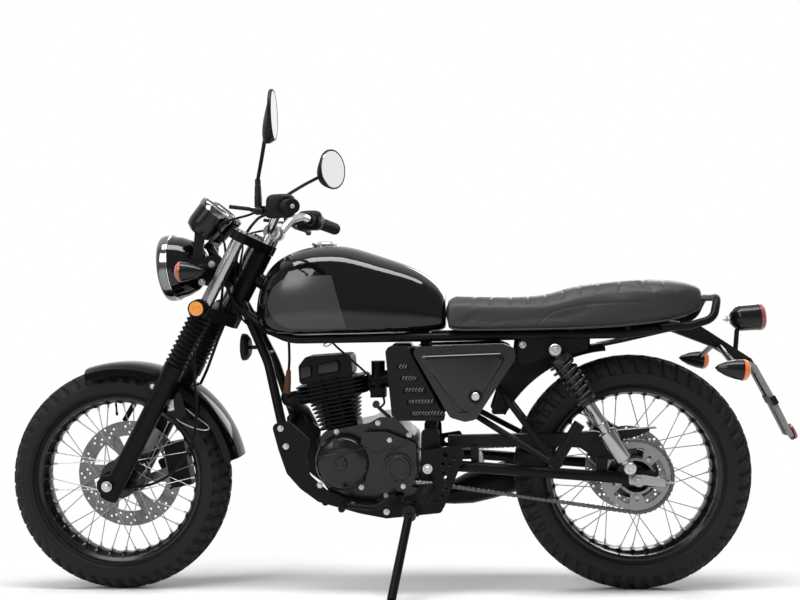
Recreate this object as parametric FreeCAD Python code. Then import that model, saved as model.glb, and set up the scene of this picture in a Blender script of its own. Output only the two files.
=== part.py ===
import FreeCAD, Part
import math
import os

V = FreeCAD.Vector

# Millimetres, degrees. The machine is drawn upright first: X runs rearward, Y to the rider's right,
# Z up from the ground. It is then leaned onto its side stand.

# Stance
WHEELBASE = 1347
FRONT_AXLE_X = -10
LEAN = 9.0
RAKE = 28.3

# Wheels and tyres
FRONT_TYRE_RADIUS = 296
FRONT_TYRE_WIDTH = 104
REAR_TYRE_RADIUS = 302
REAR_TYRE_WIDTH = 112
RIM_RADIUS = 222
RIM_WELL_RADIUS = 203
FRONT_RIM_WIDTH = 70
REAR_RIM_WIDTH = 82
SPOKES = 36
SPOKE_RADIUS = 1.8
AXLE_RADIUS = 8

# Front brake, rear brake, final drive
FRONT_DISC_RADIUS = 144
FRONT_DISC_Y = 52
REAR_DISC_RADIUS = 110
REAR_DISC_Y = 62
DISC_THICKNESS = 4.5
SPROCKET_RADIUS = 90
DRIVE_SPROCKET_RADIUS = 36
CHAIN_Y = -70
CHAIN_HEIGHT = 13
CHAIN_WIDTH = 14
CHAIN_GROOVE = 6.6
ROLLER_SEAT = 1.6
SPROCKET_PLATE = 6

# Fork and steering head
FORK_HALF_SPAN = 95
AXLE_LEAD = 13.7
STEM_OFFSET = 50
STANCHION_RADIUS = 16.5
SLIDER_RADIUS = 24
BOOT_RADIUS = 27
SLIDER_TOP = 352
BOOT_TOP = 497
LOWER_CLAMP_TOP = 529
UPPER_CLAMP_FOOT = 712
UPPER_CLAMP_TOP = 736
HEAD_TUBE_RADIUS = 27
HEAD_GAP = 2

# Handlebar
BAR_RADIUS = 11
BAR_HALF_WIDTH = 345
BAR_CLAMP_RISE = 34
GRIP_LENGTH = 118
GRIP_RADIUS = 16.5
LEVER_REACH = 60

# Frame
SPINE_RADIUS = 19
RAIL_RADIUS = 11
RAIL_HALF_SPAN = 92
RAIL_Z = 661.5
DOWNTUBE_RADIUS = 12
CRADLE_HALF_SPAN = 96
CRADLE_PLATE = 6
SHOCK_HALF_SPAN = 128
SHOCK_TOP_X = 1135
SHOCK_TOP_Z = 627
SHOCK_FOOT_X = 1311
SHOCK_FOOT_Z = 334

# Swingarm
PIVOT_X = 816
PIVOT_Z = 335
SWINGARM_RADIUS = 14
SWINGARM_HALF_SPAN = 98

# Engine
CRANK_X = 600
CRANK_Z = 347
CYLINDER_TILT = 10.3
CASE_HALF_WIDTH = 78
COVER_DEPTH = 42
OUTPUT_X = 739
OUTPUT_Z = 336
BARREL_WIDTH = 128
BARREL_LENGTH = 100
BARREL_FOOT = 84
FIN_COUNT = 7
FIN_PITCH = 10.5
FIN_THICKNESS = 3.6
HEAD_LENGTH = 183
HEAD_HEIGHT = 53
ROCKER_HEIGHT = 70
ROCKER_HALF = 80
EXHAUST_REACH = 96
INLET_REACH = 92
PORT_LEVEL = 23

# Bodywork
TANK_FRONT_X = 377
TANK_LENGTH = 490
TANK_HEIGHT = 226
TANK_FOOT_Z = 676
TANK_HALF_WIDTH = 146
AIR_BOX_X = 734
AIR_BOX_END = 985
SEAT_FRONT_X = 870
SEAT_LENGTH = 642
SEAT_FOOT_Z = 675
SEAT_HEIGHT = 119
SEAT_HALF_WIDTH = 126
FENDER_SHEET = 2.5
HEADLIGHT_RADIUS = 85
GAUGE_RADIUS = 46
GAUGE_LENGTH = 84
MIRROR_RADIUS = 59

# Number plate carrier
PLATE_HOLE_BACK = 202
PLATE_HOLE_Z = 440
PLATE_HOLE_HALF_SPAN = 19.5
CARRIER_HALF_WIDTH = 29
CARRIER_SLOT = 20
PLATE_HOLE_RADIUS = 3.2

# Side stand
STAND_PIVOT_X = 768
STAND_PIVOT_Y = -134
STAND_PIVOT_Z = 225
STAND_FOOT_Y = -262
STAND_FOOT_X = 730
STAND_RADIUS = 11
STAND_SWING = 93
STAND_PIN_RADIUS = 6
STAND_PIN_REACH = 30
STAND_PIN_HEAD = 16
STAND_BARREL_HALF = 12

# Fits and helpers
SEAT_GAP = 0.3
RUNNING_FIT = 0.05
CLEARANCE = 3
ARC_SHARE = 0.45
STRAIGHT_TURN = 0.001
OVERRUN = 400
FULL_TURN = 360
HALF_TURN = 180
QUARTER_TURN = 90

UP = V(0, 0, 1)
SIDE = V(0, 1, 0)
BACK = V(1, 0, 0)
FORK_UP = V(math.sin(math.radians(RAKE)), 0, math.cos(math.radians(RAKE)))
FORK_BACK = V(FORK_UP.z, 0, -FORK_UP.x)
FRONT_AXLE = V(FRONT_AXLE_X, 0, FRONT_TYRE_RADIUS)
REAR_AXLE = V(FRONT_AXLE_X + WHEELBASE, 0, REAR_TYRE_RADIUS)
TAIL_X = SEAT_FRONT_X + SEAT_LENGTH
CYLINDER_UP = V(-math.sin(math.radians(CYLINDER_TILT)), 0, math.cos(math.radians(CYLINDER_TILT)))
CRANK = V(CRANK_X, 0, CRANK_Z)
CYLINDER_BACK = V(CYLINDER_UP.z, 0, -CYLINDER_UP.x)


def fork_at(along, y=0, back=0):
    """A point of the fork: so far up from the axle, to the side, and behind the leg line."""
    return FRONT_AXLE + FORK_UP * along + FORK_BACK * (AXLE_LEAD + back) + V(0, y, 0)


def moved_to(shape, base, axis):
    """Turns a shape's own Z onto an axis and its origin onto a base point."""
    shape.Placement = FreeCAD.Placement(base, FreeCAD.Rotation(UP, axis))
    return shape


def cylinder(base, tip, radius):
    """A round bar between two points."""
    axis = tip - base
    return Part.makeCylinder(radius, axis.Length, base, axis)


def cone(base, tip, base_radius, tip_radius):
    """A round taper between two points."""
    axis = tip - base
    return Part.makeCone(base_radius, tip_radius, axis.Length, base, axis)


def turned(profile, base, axis):
    """A solid of revolution: profile holds (radius, height) pairs along the axis."""
    points = [V(radius, 0, height) for radius, height in profile]
    face = Part.Face(Part.makePolygon(points + points[:1]))
    solid = face.revolve(V(0, 0, 0), UP, FULL_TURN)
    return moved_to(solid, base, axis)


def block(centre, length, width, height, turn=0):
    """A box about a centre, turned nose up about Y."""
    box = Part.makeBox(length, width, height, V(-length / 2, -width / 2, -height / 2))
    box.Placement = FreeCAD.Placement(centre, FreeCAD.Rotation(SIDE, turn))
    return box


def rounded_wire(corners, radius):
    """A closed wire through flat corners, each rounded as far as its runs allow."""
    edges = []
    count = len(corners)
    starts = []
    ends = []
    arcs = []
    for index in range(count):
        corner = corners[index]
        before = corners[index - 1] - corner
        after = corners[(index + 1) % count] - corner
        run = min(before.Length, after.Length)
        before.normalize()
        after.normalize()
        half_turn = (math.pi - before.getAngle(after)) / 2
        fit = min(radius, ARC_SHARE * run / math.tan(half_turn))
        cut = fit * math.tan(half_turn)
        inward = before + after
        inward.normalize()
        middle = corner + inward * (fit / math.cos(half_turn) - fit)
        starts.append(corner + before * cut)
        ends.append(corner + after * cut)
        arcs.append(middle)
    for index in range(count):
        edges.append(Part.Arc(starts[index], arcs[index], ends[index]).toShape())
        edges.append(Part.makeLine(ends[index], starts[(index + 1) % count]))
    return Part.Wire(edges)


def slab(outline, low_y, high_y, radius):
    """A plate of rounded (x, z) outline between two planes across the machine."""
    corners = [V(x, low_y, z) for x, z in outline]
    return Part.Face(rounded_wire(corners, radius)).extrude(V(0, high_y - low_y, 0))


def tube(points, radius, bend):
    """A bent bar: straight runs joined by tangent arcs, as a round section carried along."""
    edges = []
    start = points[0]
    for index in range(1, len(points) - 1):
        corner = points[index]
        before = points[index - 1] - corner
        after = points[index + 1] - corner
        run = min(before.Length, after.Length)
        before.normalize()
        after.normalize()
        half_turn = (math.pi - before.getAngle(after)) / 2
        if half_turn < STRAIGHT_TURN:
            continue
        fit = min(bend, ARC_SHARE * run / math.tan(half_turn))
        cut = fit * math.tan(half_turn)
        inward = before + after
        inward.normalize()
        middle = corner + inward * (fit / math.cos(half_turn) - fit)
        edges.append(Part.makeLine(start, corner + before * cut))
        edges.append(Part.Arc(corner + before * cut, middle, corner + after * cut).toShape())
        start = corner + after * cut
    edges.append(Part.makeLine(start, points[-1]))
    path = Part.Wire(edges)
    circle = Part.Wire(Part.makeCircle(radius, points[0], points[1] - points[0]))
    return path.makePipe(Part.Face(circle))


def skin(stations, half_section):
    """A loft through closed sections: each station is x, half width, foot and top."""
    wires = []
    for x, half_width, foot, top in stations:
        right = [V(x, half_width * across, foot + (top - foot) * up) for across, up in half_section]
        left = [V(x, -half_width * across, foot + (top - foot) * up)
                for across, up in reversed(half_section[1:-1])]
        curve = Part.BSplineCurve()
        curve.interpolate(right + left, PeriodicFlag=True)
        wires.append(Part.Wire(curve.toShape()))
    return Part.makeLoft(wires, True, False)


def mirrored(shape):
    """The same piece on the other side of the machine."""
    return shape.mirror(V(0, 0, 0), SIDE)


def both_sides(shape):
    """A piece with its twin, as solids that do not touch."""
    return Part.makeCompound([shape, mirrored(shape)])


def joined(pieces):
    """Pieces fused to one clean solid."""
    return pieces[0].fuse(pieces[1:]).removeSplitter()


def wheel_ring(profile, centre):
    """A ring about a wheel's axle from (radius, y) pairs."""
    points = [V(radius, y, 0) for radius, y in profile]
    face = Part.Face(Part.makePolygon(points + points[:1]))
    ring = face.revolve(V(0, 0, 0), SIDE, FULL_TURN)
    ring.translate(centre)
    return ring


def rim_profile(half_width):
    """The rim's section: lips, bead seats and the drop centre that takes the spokes."""
    lip = 4
    bead_radius = RIM_RADIUS - 9
    well_half_shares = (0.55, 0.42)
    wall = 5
    well_outer = RIM_WELL_RADIUS + wall
    outer_well = half_width * well_half_shares[0]
    inner_well = half_width * well_half_shares[1]
    return [(RIM_RADIUS, -half_width), (RIM_RADIUS, -half_width + lip), (bead_radius, -half_width + lip),
            (bead_radius, -outer_well), (well_outer, -inner_well), (well_outer, inner_well),
            (bead_radius, outer_well), (bead_radius, half_width - lip), (RIM_RADIUS, half_width - lip),
            (RIM_RADIUS, half_width), (bead_radius - wall, half_width), (bead_radius - wall, outer_well),
            (RIM_WELL_RADIUS, inner_well), (RIM_WELL_RADIUS, -inner_well),
            (bead_radius - wall, -outer_well), (bead_radius - wall, -half_width)]


def tyre(centre, radius, width, rim_width):
    """A tubeless-looking tyre: crowned tread, rounded shoulders, walls down to the bead."""
    half_rim = rim_width / 2 - 4
    bead_radius = RIM_RADIUS - 9
    half = width / 2
    crown_shares = (0.0, 0.22, 0.42, 0.62, 0.8, 0.93, 1.0)
    right = []
    for share in crown_shares:
        drop = half * (1 - math.sqrt(1 - (share * 0.995) ** 2))
        right.append((radius - drop, half * share))
    wall_radius = (radius + bead_radius) / 2 - 6
    right[-1] = (wall_radius + 12, half)
    right.append((wall_radius - 14, half - 2))
    right.append((RIM_RADIUS + 3, half_rim + 5))
    right.append((RIM_RADIUS + 1, half_rim))
    right.append((bead_radius, half_rim))
    left = [(r, -y) for r, y in reversed(right[1:])]
    crown = [V(r, y, 0) for r, y in left[5:] + right[:6]]
    curve = Part.BSplineCurve()
    curve.interpolate(crown)
    rest = [V(r, y, 0) for r, y in right[5:]] + [V(r, y, 0) for r, y in left[:6]]
    edges = [curve.toShape()] + [Part.makeLine(a, b) for a, b in zip(rest, rest[1:])]
    face = Part.Face(Part.Wire(Part.__sortEdges__(edges)))
    ring = face.revolve(V(0, 0, 0), SIDE, FULL_TURN)
    ring.translate(centre)
    return ring


def spokes(centre, flange_radius, flange_y):
    """Laced spokes: each leaves its flange nearly tangent and crosses its neighbours."""
    bars = []
    lead = 52
    step = FULL_TURN / SPOKES
    for index in range(SPOKES):
        side = 1 if index % 2 else -1
        twist = lead if (index // 2) % 2 else -lead
        rim_turn = math.radians(index * step)
        hub_turn = math.radians(index * step + twist)
        hub = V(flange_radius * math.cos(hub_turn), side * flange_y, flange_radius * math.sin(hub_turn))
        reach = RIM_WELL_RADIUS + 2
        rim = V(reach * math.cos(rim_turn), side * 7, reach * math.sin(rim_turn))
        bars.append(cylinder(centre + hub, centre + rim, SPOKE_RADIUS))
    return bars


def hub_profile(barrel, half, reach, flange_y, flange):
    """A hub's section: axle bore, waisted barrel and a flat flange for each row of spokes."""
    bore = AXLE_RADIUS + RUNNING_FIT
    outside = flange_y + flange
    return [(bore, -half), (barrel, -half), (barrel, -outside), (reach, -outside), (reach, -flange_y + 2),
            (barrel, -flange_y + 8), (barrel, flange_y - 8), (reach, flange_y - 2), (reach, outside),
            (barrel, outside), (barrel, half), (bore, half)]


def front_wheel():
    """Black spoked rim and hub with a bored axle tunnel."""
    flange_radius = 46
    flange_y = 30
    hub_radius = 27
    hub_half = 42
    flange = 5
    hub = wheel_ring(hub_profile(hub_radius, hub_half, flange_radius + 5, flange_y, flange), FRONT_AXLE)
    rim = wheel_ring(rim_profile(FRONT_RIM_WIDTH / 2), FRONT_AXLE)
    return joined([hub, rim] + spokes(FRONT_AXLE, flange_radius, flange_y))


def rear_wheel():
    """Black spoked rim and wider hub with its cush drive drum."""
    flange_radius = 58
    flange_y = 28
    hub_radius = 34
    hub_half = 48
    flange = 5
    hub = wheel_ring(hub_profile(hub_radius, hub_half, flange_radius + 6, flange_y, flange), REAR_AXLE)
    rim = wheel_ring(rim_profile(REAR_RIM_WIDTH / 2), REAR_AXLE)
    return joined([hub, rim] + spokes(REAR_AXLE, flange_radius, flange_y))


def disc(centre, y, radius, bore, hub_y):
    """A brake disc: swept ring, six windows and the carrier that seats on the hub."""
    side = 1 if y > 0 else -1
    windows = 6
    band = 38
    window_inner = bore + 12
    window_outer = radius - band
    ring = wheel_ring([(bore, y - DISC_THICKNESS / 2), (radius, y - DISC_THICKNESS / 2),
                       (radius, y + DISC_THICKNESS / 2), (bore, y + DISC_THICKNESS / 2)], centre)
    step = FULL_TURN / windows
    spoke_half_share = 0.2
    cutters = []
    for index in range(windows):
        face = Part.Face(Part.makePolygon([
            V(window_inner, y - CLEARANCE, 0), V(window_outer, y - CLEARANCE, 0),
            V(window_outer, y + CLEARANCE, 0), V(window_inner, y + CLEARANCE, 0),
            V(window_inner, y - CLEARANCE, 0)]))
        cutter = face.revolve(V(0, 0, 0), SIDE, step * (1 - spoke_half_share * 2))
        cutter.rotate(V(0, 0, 0), SIDE, index * step)
        cutter.translate(centre)
        cutters.append(cutter)
    ring = ring.cut(cutters)
    inner_face = y - side * DISC_THICKNESS / 2
    collar = wheel_ring([(bore, hub_y), (bore + 8, hub_y), (bore + 8, inner_face), (bore, inner_face)], centre)
    return joined([ring, collar])


def front_disc():
    """The front disc, on the right of the hub."""
    return disc(FRONT_AXLE, FRONT_DISC_Y, FRONT_DISC_RADIUS, 43, 35)


def rear_disc():
    """The rear disc, on the right of the hub."""
    return disc(REAR_AXLE, REAR_DISC_Y, REAR_DISC_RADIUS, 40, 33)


def rear_sprocket():
    """The driven sprocket with its teeth, five windows and the boss on the hub."""
    teeth = 38
    root = SPROCKET_RADIUS - 5
    plate = SPROCKET_PLATE
    low = CHAIN_Y - plate / 2
    points = []
    step = FULL_TURN / teeth
    tooth_shares = ((0.0, 0), (0.3, 0), (0.42, 1), (0.58, 1), (0.7, 0))
    tooth = 6
    for index in range(teeth):
        for share, lift in tooth_shares:
            turn = math.radians((index + share) * step)
            reach = root + tooth * lift
            points.append(V(reach * math.cos(turn), low, reach * math.sin(turn)))
    wheel = Part.Face(Part.makePolygon(points + points[:1])).extrude(V(0, plate, 0))
    wheel.translate(REAR_AXLE)
    bore = 40
    wheel = wheel.cut(cylinder(REAR_AXLE - V(0, OVERRUN, 0), REAR_AXLE + V(0, OVERRUN, 0), bore))
    windows = 5
    window_radius = 13
    window_ring = 62
    for index in range(windows):
        turn = math.radians(index * FULL_TURN / windows)
        spot = REAR_AXLE + V(window_ring * math.cos(turn), 0, window_ring * math.sin(turn))
        wheel = wheel.cut(cylinder(spot + V(0, low - CLEARANCE, 0), spot + V(0, low + plate + CLEARANCE, 0),
                                   window_radius))
    high = low + plate
    collar = wheel_ring([(bore, high), (bore + 9, high), (bore + 9, -33), (bore, -33)], REAR_AXLE)
    return joined([wheel, collar])


def fork_tubes():
    """Bright stanchions between slider and upper clamp, with the front axle across their feet."""
    leg = cylinder(fork_at(SLIDER_TOP + SEAT_GAP, FORK_HALF_SPAN), fork_at(UPPER_CLAMP_TOP + 6, FORK_HALF_SPAN),
                   STANCHION_RADIUS)
    return both_sides(leg)


def fork_sliders():
    """Lower legs with the axle lugs, the axle through both and the speedometer drive on the left."""
    lug_radius = 25
    foot = -34
    leg = cylinder(fork_at(foot, FORK_HALF_SPAN), fork_at(SLIDER_TOP, FORK_HALF_SPAN), SLIDER_RADIUS)
    collar = cylinder(fork_at(SLIDER_TOP - 34, FORK_HALF_SPAN), fork_at(SLIDER_TOP, FORK_HALF_SPAN),
                      SLIDER_RADIUS + 3)
    lug = cylinder(FRONT_AXLE + V(0, FORK_HALF_SPAN - SLIDER_RADIUS, 0),
                   FRONT_AXLE + V(0, FORK_HALF_SPAN + SLIDER_RADIUS, 0), lug_radius)
    right = joined([leg, collar, lug])
    axle_half = FORK_HALF_SPAN + SLIDER_RADIUS + 8
    axle = cylinder(FRONT_AXLE - V(0, axle_half, 0), FRONT_AXLE + V(0, axle_half, 0), AXLE_RADIUS)
    drive_inner = 47
    drive_radius = 31
    drive = cylinder(FRONT_AXLE - V(0, drive_inner, 0), FRONT_AXLE - V(0, FORK_HALF_SPAN - SLIDER_RADIUS / 2, 0),
                     drive_radius)
    return joined([right, mirrored(right), axle, drive])


def fork_boots():
    """Pleated rubber boots over the stanchions."""
    pleats = 11
    wall = 2
    inner = STANCHION_RADIUS + SEAT_GAP
    span = BOOT_TOP - SLIDER_TOP - SEAT_GAP * 2
    pitch = span / pleats
    valley = BOOT_RADIUS - 5
    profile = [(inner, 0), (valley, 0)]
    for index in range(pleats):
        profile.append((BOOT_RADIUS + wall, (index + 0.5) * pitch))
        profile.append((valley, (index + 1) * pitch))
    profile.append((inner, span))
    boot = turned(profile, fork_at(SLIDER_TOP + SEAT_GAP, FORK_HALF_SPAN), FORK_UP)
    return both_sides(boot)


def clamp_plate(foot, top, grip):
    """A fork clamp: two split collars joined across the steering stem."""
    ring = cylinder(fork_at(foot, FORK_HALF_SPAN), fork_at(top, FORK_HALF_SPAN), grip)
    stem_ring = cylinder(fork_at(foot, 0, STEM_OFFSET), fork_at(top, 0, STEM_OFFSET), grip + 4)
    back = STEM_OFFSET + grip
    corners = [fork_at(foot, -FORK_HALF_SPAN, -grip * 0.55), fork_at(foot, FORK_HALF_SPAN, -grip * 0.55),
               fork_at(foot, FORK_HALF_SPAN + grip * 0.7, grip * 0.4), fork_at(foot, grip, back),
               fork_at(foot, -grip, back), fork_at(foot, -FORK_HALF_SPAN - grip * 0.7, grip * 0.4)]
    web = Part.Face(rounded_wire(corners, grip / 2)).extrude(FORK_UP * (top - foot))
    return joined([web, ring, mirrored(ring), stem_ring])


def triple_clamps():
    """Upper and lower clamps on the steering stem, with side reflector bosses."""
    grip = STANCHION_RADIUS + 8
    upper = clamp_plate(UPPER_CLAMP_FOOT, UPPER_CLAMP_TOP, grip)
    lower = clamp_plate(BOOT_TOP, LOWER_CLAMP_TOP, grip + 2)
    stem = cylinder(fork_at(BOOT_TOP, 0, STEM_OFFSET), fork_at(UPPER_CLAMP_TOP + 14, 0, STEM_OFFSET), 13)
    nut = cylinder(fork_at(UPPER_CLAMP_TOP, 0, STEM_OFFSET), fork_at(UPPER_CLAMP_TOP + 12, 0, STEM_OFFSET), 17)
    level = (BOOT_TOP + LOWER_CLAMP_TOP) / 2 + 6
    reflector = cylinder(fork_at(level, -FORK_HALF_SPAN, -5), fork_at(level, -FORK_HALF_SPAN - grip - 9, -5), 21)
    pieces = [upper, lower, stem, nut, reflector, mirrored(reflector)]
    body = joined(pieces)
    holes = []
    for side in (-1, 1):
        y = side * FORK_HALF_SPAN
        holes.append(cylinder(fork_at(SLIDER_TOP, y), fork_at(UPPER_CLAMP_TOP + OVERRUN, y),
                              STANCHION_RADIUS + RUNNING_FIT))
    return body.cut(holes)


def bar_path():
    """The handlebar's right half: clamp, rise, pull-back and grip."""
    clamp = fork_at(UPPER_CLAMP_TOP + BAR_CLAMP_RISE, 0, STEM_OFFSET + 4)
    return [clamp, clamp + V(0, 58, 0), clamp + V(30, 96, 44), clamp + V(52, 140, 54),
            clamp + V(114, BAR_HALF_WIDTH, 34)]


def handlebar():
    """A one-piece bent bar in two clamps on the upper clamp."""
    path = bar_path()
    left = [V(p.x, -p.y, p.z) for p in reversed(path[1:])]
    bar = tube(left + path, BAR_RADIUS, 42)
    risers = []
    half_span = 34
    for side in (-1, 1):
        foot = fork_at(UPPER_CLAMP_TOP, side * half_span, STEM_OFFSET + 4)
        top = fork_at(UPPER_CLAMP_TOP + BAR_CLAMP_RISE + 17, side * half_span, STEM_OFFSET + 4)
        riser = cylinder(foot, top, 14)
        cap = cylinder(foot + FORK_UP * BAR_CLAMP_RISE - V(0, 13, 0), foot + FORK_UP * BAR_CLAMP_RISE + V(0, 13, 0),
                       20)
        risers += [riser, cap]
    return joined([bar] + risers)


def hand_controls():
    """Grips, switch housings, lever perches and levers of both hands."""
    path = bar_path()
    inner = path[-2]
    outer = path[-1]
    along = outer - inner
    along.normalize()
    hole = BAR_RADIUS + RUNNING_FIT
    grip_foot = outer + along * 4 - along * GRIP_LENGTH
    grip = cylinder(grip_foot, outer + along * 4, GRIP_RADIUS)
    collar = cylinder(grip_foot - along * 6, grip_foot, GRIP_RADIUS + 4)
    housing = cylinder(grip_foot - along * 40, grip_foot - along * 6, 24)
    perch_foot = grip_foot - along * 54
    perch = cylinder(perch_foot - along * 8, perch_foot + along * 14, 17)
    forward = V(-1, 0, -0.12)
    pivot = perch_foot + forward * LEVER_REACH + along * 8
    arm = cylinder(perch_foot + forward * 8, pivot, 9)
    adjuster = cylinder(pivot, pivot + V(-1.3 * LEVER_REACH, 0, BAR_RADIUS), 5)
    knuckle = cylinder(pivot - V(0, 0, 10), pivot + V(0, 0, 10), 11)
    blade = tube([pivot, pivot + along * 60 + forward * 14, pivot + along * 120 + forward * 12,
                  pivot + along * 158 + forward * 20], 6.5, 60)
    ball = Part.makeSphere(9, pivot + along * 158 + forward * 20)
    pieces = joined([grip, collar, housing, perch, arm, adjuster, knuckle, blade, ball])
    bore = tube(path, hole, 42)
    return both_sides(pieces.cut(bore))


def mirrors():
    """Round mirrors on long stalks from the lever perches, each turned its own way."""
    path = bar_path()
    inner = path[-2]
    along = path[-1] - inner
    along.normalize()
    base = path[-1] - along * (GRIP_LENGTH + 53) + V(-LEVER_REACH - 6, 0, 10)
    sleeve_foot = 12
    sleeve_length = 59
    dish_depth = 28
    heads = ((-1, V(480, -300, 1194), V(0.979, 0.204, 0), V(0, 0, -48)),
             (1, V(532, 300, 1150), V(0.87, -0.5, 0), V(-14, 0, -34)))
    sides = []
    for side, spot, facing, drop in heads:
        foot = V(base.x, side * base.y, base.z)
        sleeve = cone(foot - UP * sleeve_foot, foot + UP * sleeve_length, 9, 7)
        knee = spot + drop - facing * 14
        stalk = tube([foot, foot + UP * (sleeve_length + 4), knee - UP * 8, spot - UP * 22 - facing * 12], 5, 60)
        dish = turned([(0, 0), (MIRROR_RADIUS, 0), (MIRROR_RADIUS, 5), (MIRROR_RADIUS * 0.7, 17),
                       (MIRROR_RADIUS * 0.3, 26), (0, dish_depth)], spot, facing * -1)
        sides.append(joined([sleeve, stalk, dish]))
    return Part.makeCompound(sides)


def lamp_axis():
    """The headlamp's axis: forward and a little down."""
    droop = 5
    return V(-math.cos(math.radians(droop)), 0, -math.sin(math.radians(droop)))


def headlight():
    """A round headlamp: bowl, rim, lens and the pair of ears that reach back to the fork."""
    centre = V(142, 0, 855)
    axis = lamp_axis()
    r = HEADLIGHT_RADIUS
    profile = [(0, -94), (26, -91), (48, -80), (66, -60), (78, -34), (r, -6), (r + 2, -6), (r + 2, 16),
               (r - 4, 20), (r - 28, 29), (0, 34)]
    bowl = turned(profile, centre, axis)
    ear_y = r - 4
    ears = []
    for side in (-1, 1):
        outline = [(160, 866), (286, 884), (310, 850), (272, 800), (250, 804), (200, 840), (160, 836)]
        ears.append(slab(outline, side * (ear_y + 4), side * (ear_y - 4), 10))
    legs = [cylinder(fork_at(SLIDER_TOP, side * FORK_HALF_SPAN), fork_at(UPPER_CLAMP_FOOT, side * FORK_HALF_SPAN),
                     STANCHION_RADIUS + SEAT_GAP) for side in (-1, 1)]
    return joined([bowl] + ears).cut(legs)


def front_indicators():
    """Teardrop direction lamps on short stalks from the headlamp ears."""
    tip_y = 176
    shapes = []
    centre = V(216, tip_y, 838)
    profile = [(0, 14), (16, 12), (24, 6), (25, 0), (23, -14), (17, -34), (8, -52), (0, -60)]
    lamp = turned(profile, centre, BACK * -1)
    stalk = cylinder(V(236, HEADLIGHT_RADIUS + SEAT_GAP, 846), V(222, tip_y - 12, 838), 7)
    shapes.append(joined([lamp, stalk]))
    return both_sides(shapes[0])


def gauges():
    """Two round instruments side by side in one bracket above the headlamp."""
    axis = V(0.66, 0, 0.75)
    axis.normalize()
    foot = V(222, 50, 941)
    r = GAUGE_RADIUS
    length = GAUGE_LENGTH
    profile = [(0, 0), (r * 0.55, 0), (r * 0.85, 8), (r - 3, 22), (r - 1, length - 14), (r, length - 14),
               (r, length - 2), (r - 4, length), (r - 6, length - 3), (0, length - 3)]
    pod = turned(profile, foot, axis)
    post = block(V(246, 0, 913), 26, 110, 5, -40)
    stem = cylinder(V(238, 0, 913), V(256, 0, 876), 12)
    inner = HEADLIGHT_RADIUS - 8 - SEAT_GAP
    arm = slab([(214, 868), (240, 871), (246, 938), (222, 946)], inner - 10, inner, 4)
    return joined([pod, mirrored(pod), post, stem, arm, mirrored(arm)])


def front_fender():
    """A pressed mudguard over the front wheel with a stay to each leg."""
    radius = FRONT_TYRE_RADIUS + 26
    centre = FRONT_AXLE + V(14, 0, -11)
    half = FRONT_TYRE_WIDTH / 2 + 16
    crown = [(radius - 34, half), (radius - 16, half - 2), (radius - 5, half - 20), (radius, half - 46), (radius, 0)]
    outer = crown + [(r, -y) for r, y in reversed(crown[:-1])]
    inner = [(r - FENDER_SHEET, y * (1 - FENDER_SHEET / half)) for r, y in reversed(outer)]
    points = [V(r, y, 0) for r, y in outer + inner]
    face = Part.Face(Part.makePolygon(points + points[:1]))
    start = 107
    sweep = 95
    shell = face.revolve(V(0, 0, 0), SIDE, sweep)
    shell.rotate(V(0, 0, 0), SIDE, -start)
    shell.translate(centre)
    stays = []
    leg_inner = FORK_HALF_SPAN - SLIDER_RADIUS - SEAT_GAP
    for side in (-1, 1):
        y = side * leg_inner
        outline = [(74, 556), (124, 562), (176, 524), (190, 466), (166, 458), (116, 482)]
        stays.append(slab(outline, y - side * 4, y, 12))
    return joined([shell] + stays)


def front_caliper():
    """A two-piston caliper behind the right leg, gripping the disc, with its bracket."""
    turn = math.radians(12)
    reach = FRONT_DISC_RADIUS - 14
    spot = FRONT_AXLE + V(reach * math.cos(turn), 0, reach * math.sin(turn))
    body = block(V(spot.x + 12, FRONT_DISC_Y + 2, spot.z), 58, 44, 122, -10)
    gap = wheel_ring([(0, FRONT_DISC_Y - 5), (FRONT_DISC_RADIUS + 6, FRONT_DISC_Y - 5),
                      (FRONT_DISC_RADIUS + 6, FRONT_DISC_Y + 5), (0, FRONT_DISC_Y + 5)], FRONT_AXLE)
    outline = [(62, 330), (92, 340), (132, 372), (162, 360), (142, 262), (102, 240)]
    plate = slab(outline, FRONT_DISC_Y + 12, FRONT_DISC_Y + 20, 8)
    leg_clear = cylinder(fork_at(-OVERRUN, FORK_HALF_SPAN), fork_at(SLIDER_TOP, FORK_HALF_SPAN),
                         SLIDER_RADIUS + SEAT_GAP)
    return joined([body.cut(gap), plate]).cut(leg_clear)


def frame_spine():
    """Head tube, backbone and the two rails that carry the tank and seat."""
    head = cylinder(fork_at(LOWER_CLAMP_TOP + HEAD_GAP, 0, STEM_OFFSET),
                    fork_at(UPPER_CLAMP_FOOT - HEAD_GAP, 0, STEM_OFFSET), HEAD_TUBE_RADIUS)
    spine = tube(spine_path(), SPINE_RADIUS, 160)
    rails = []
    for side in (-1, 1):
        rails.append(tube(rail_path(side), RAIL_RADIUS, 90))
    cross = cylinder(V(815, -RAIL_HALF_SPAN, RAIL_Z), V(815, RAIL_HALF_SPAN, RAIL_Z), RAIL_RADIUS)
    body = joined([head, spine, cross] + rails)
    bore = cylinder(fork_at(BOOT_TOP, 0, STEM_OFFSET), fork_at(UPPER_CLAMP_TOP, 0, STEM_OFFSET),
                    13 + RUNNING_FIT)
    return body.cut(bore)


def spine_path():
    """The backbone's line under the tank."""
    top = fork_at(646, 0, STEM_OFFSET)
    return [top, V(430, 0, 770), V(700, 0, 715), V(815, 0, RAIL_Z)]


def rail_path(side):
    """A side rail: from the foot of the head tube, down along the tank, then rearward."""
    foot = fork_at(548, 0, STEM_OFFSET)
    half = side * RAIL_HALF_SPAN
    return [foot + V(8, side * 14, 0), V(398, side * 56, 690), V(470, half, RAIL_Z), V(1060, half, RAIL_Z),
            V(1150, half, RAIL_Z)]


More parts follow.
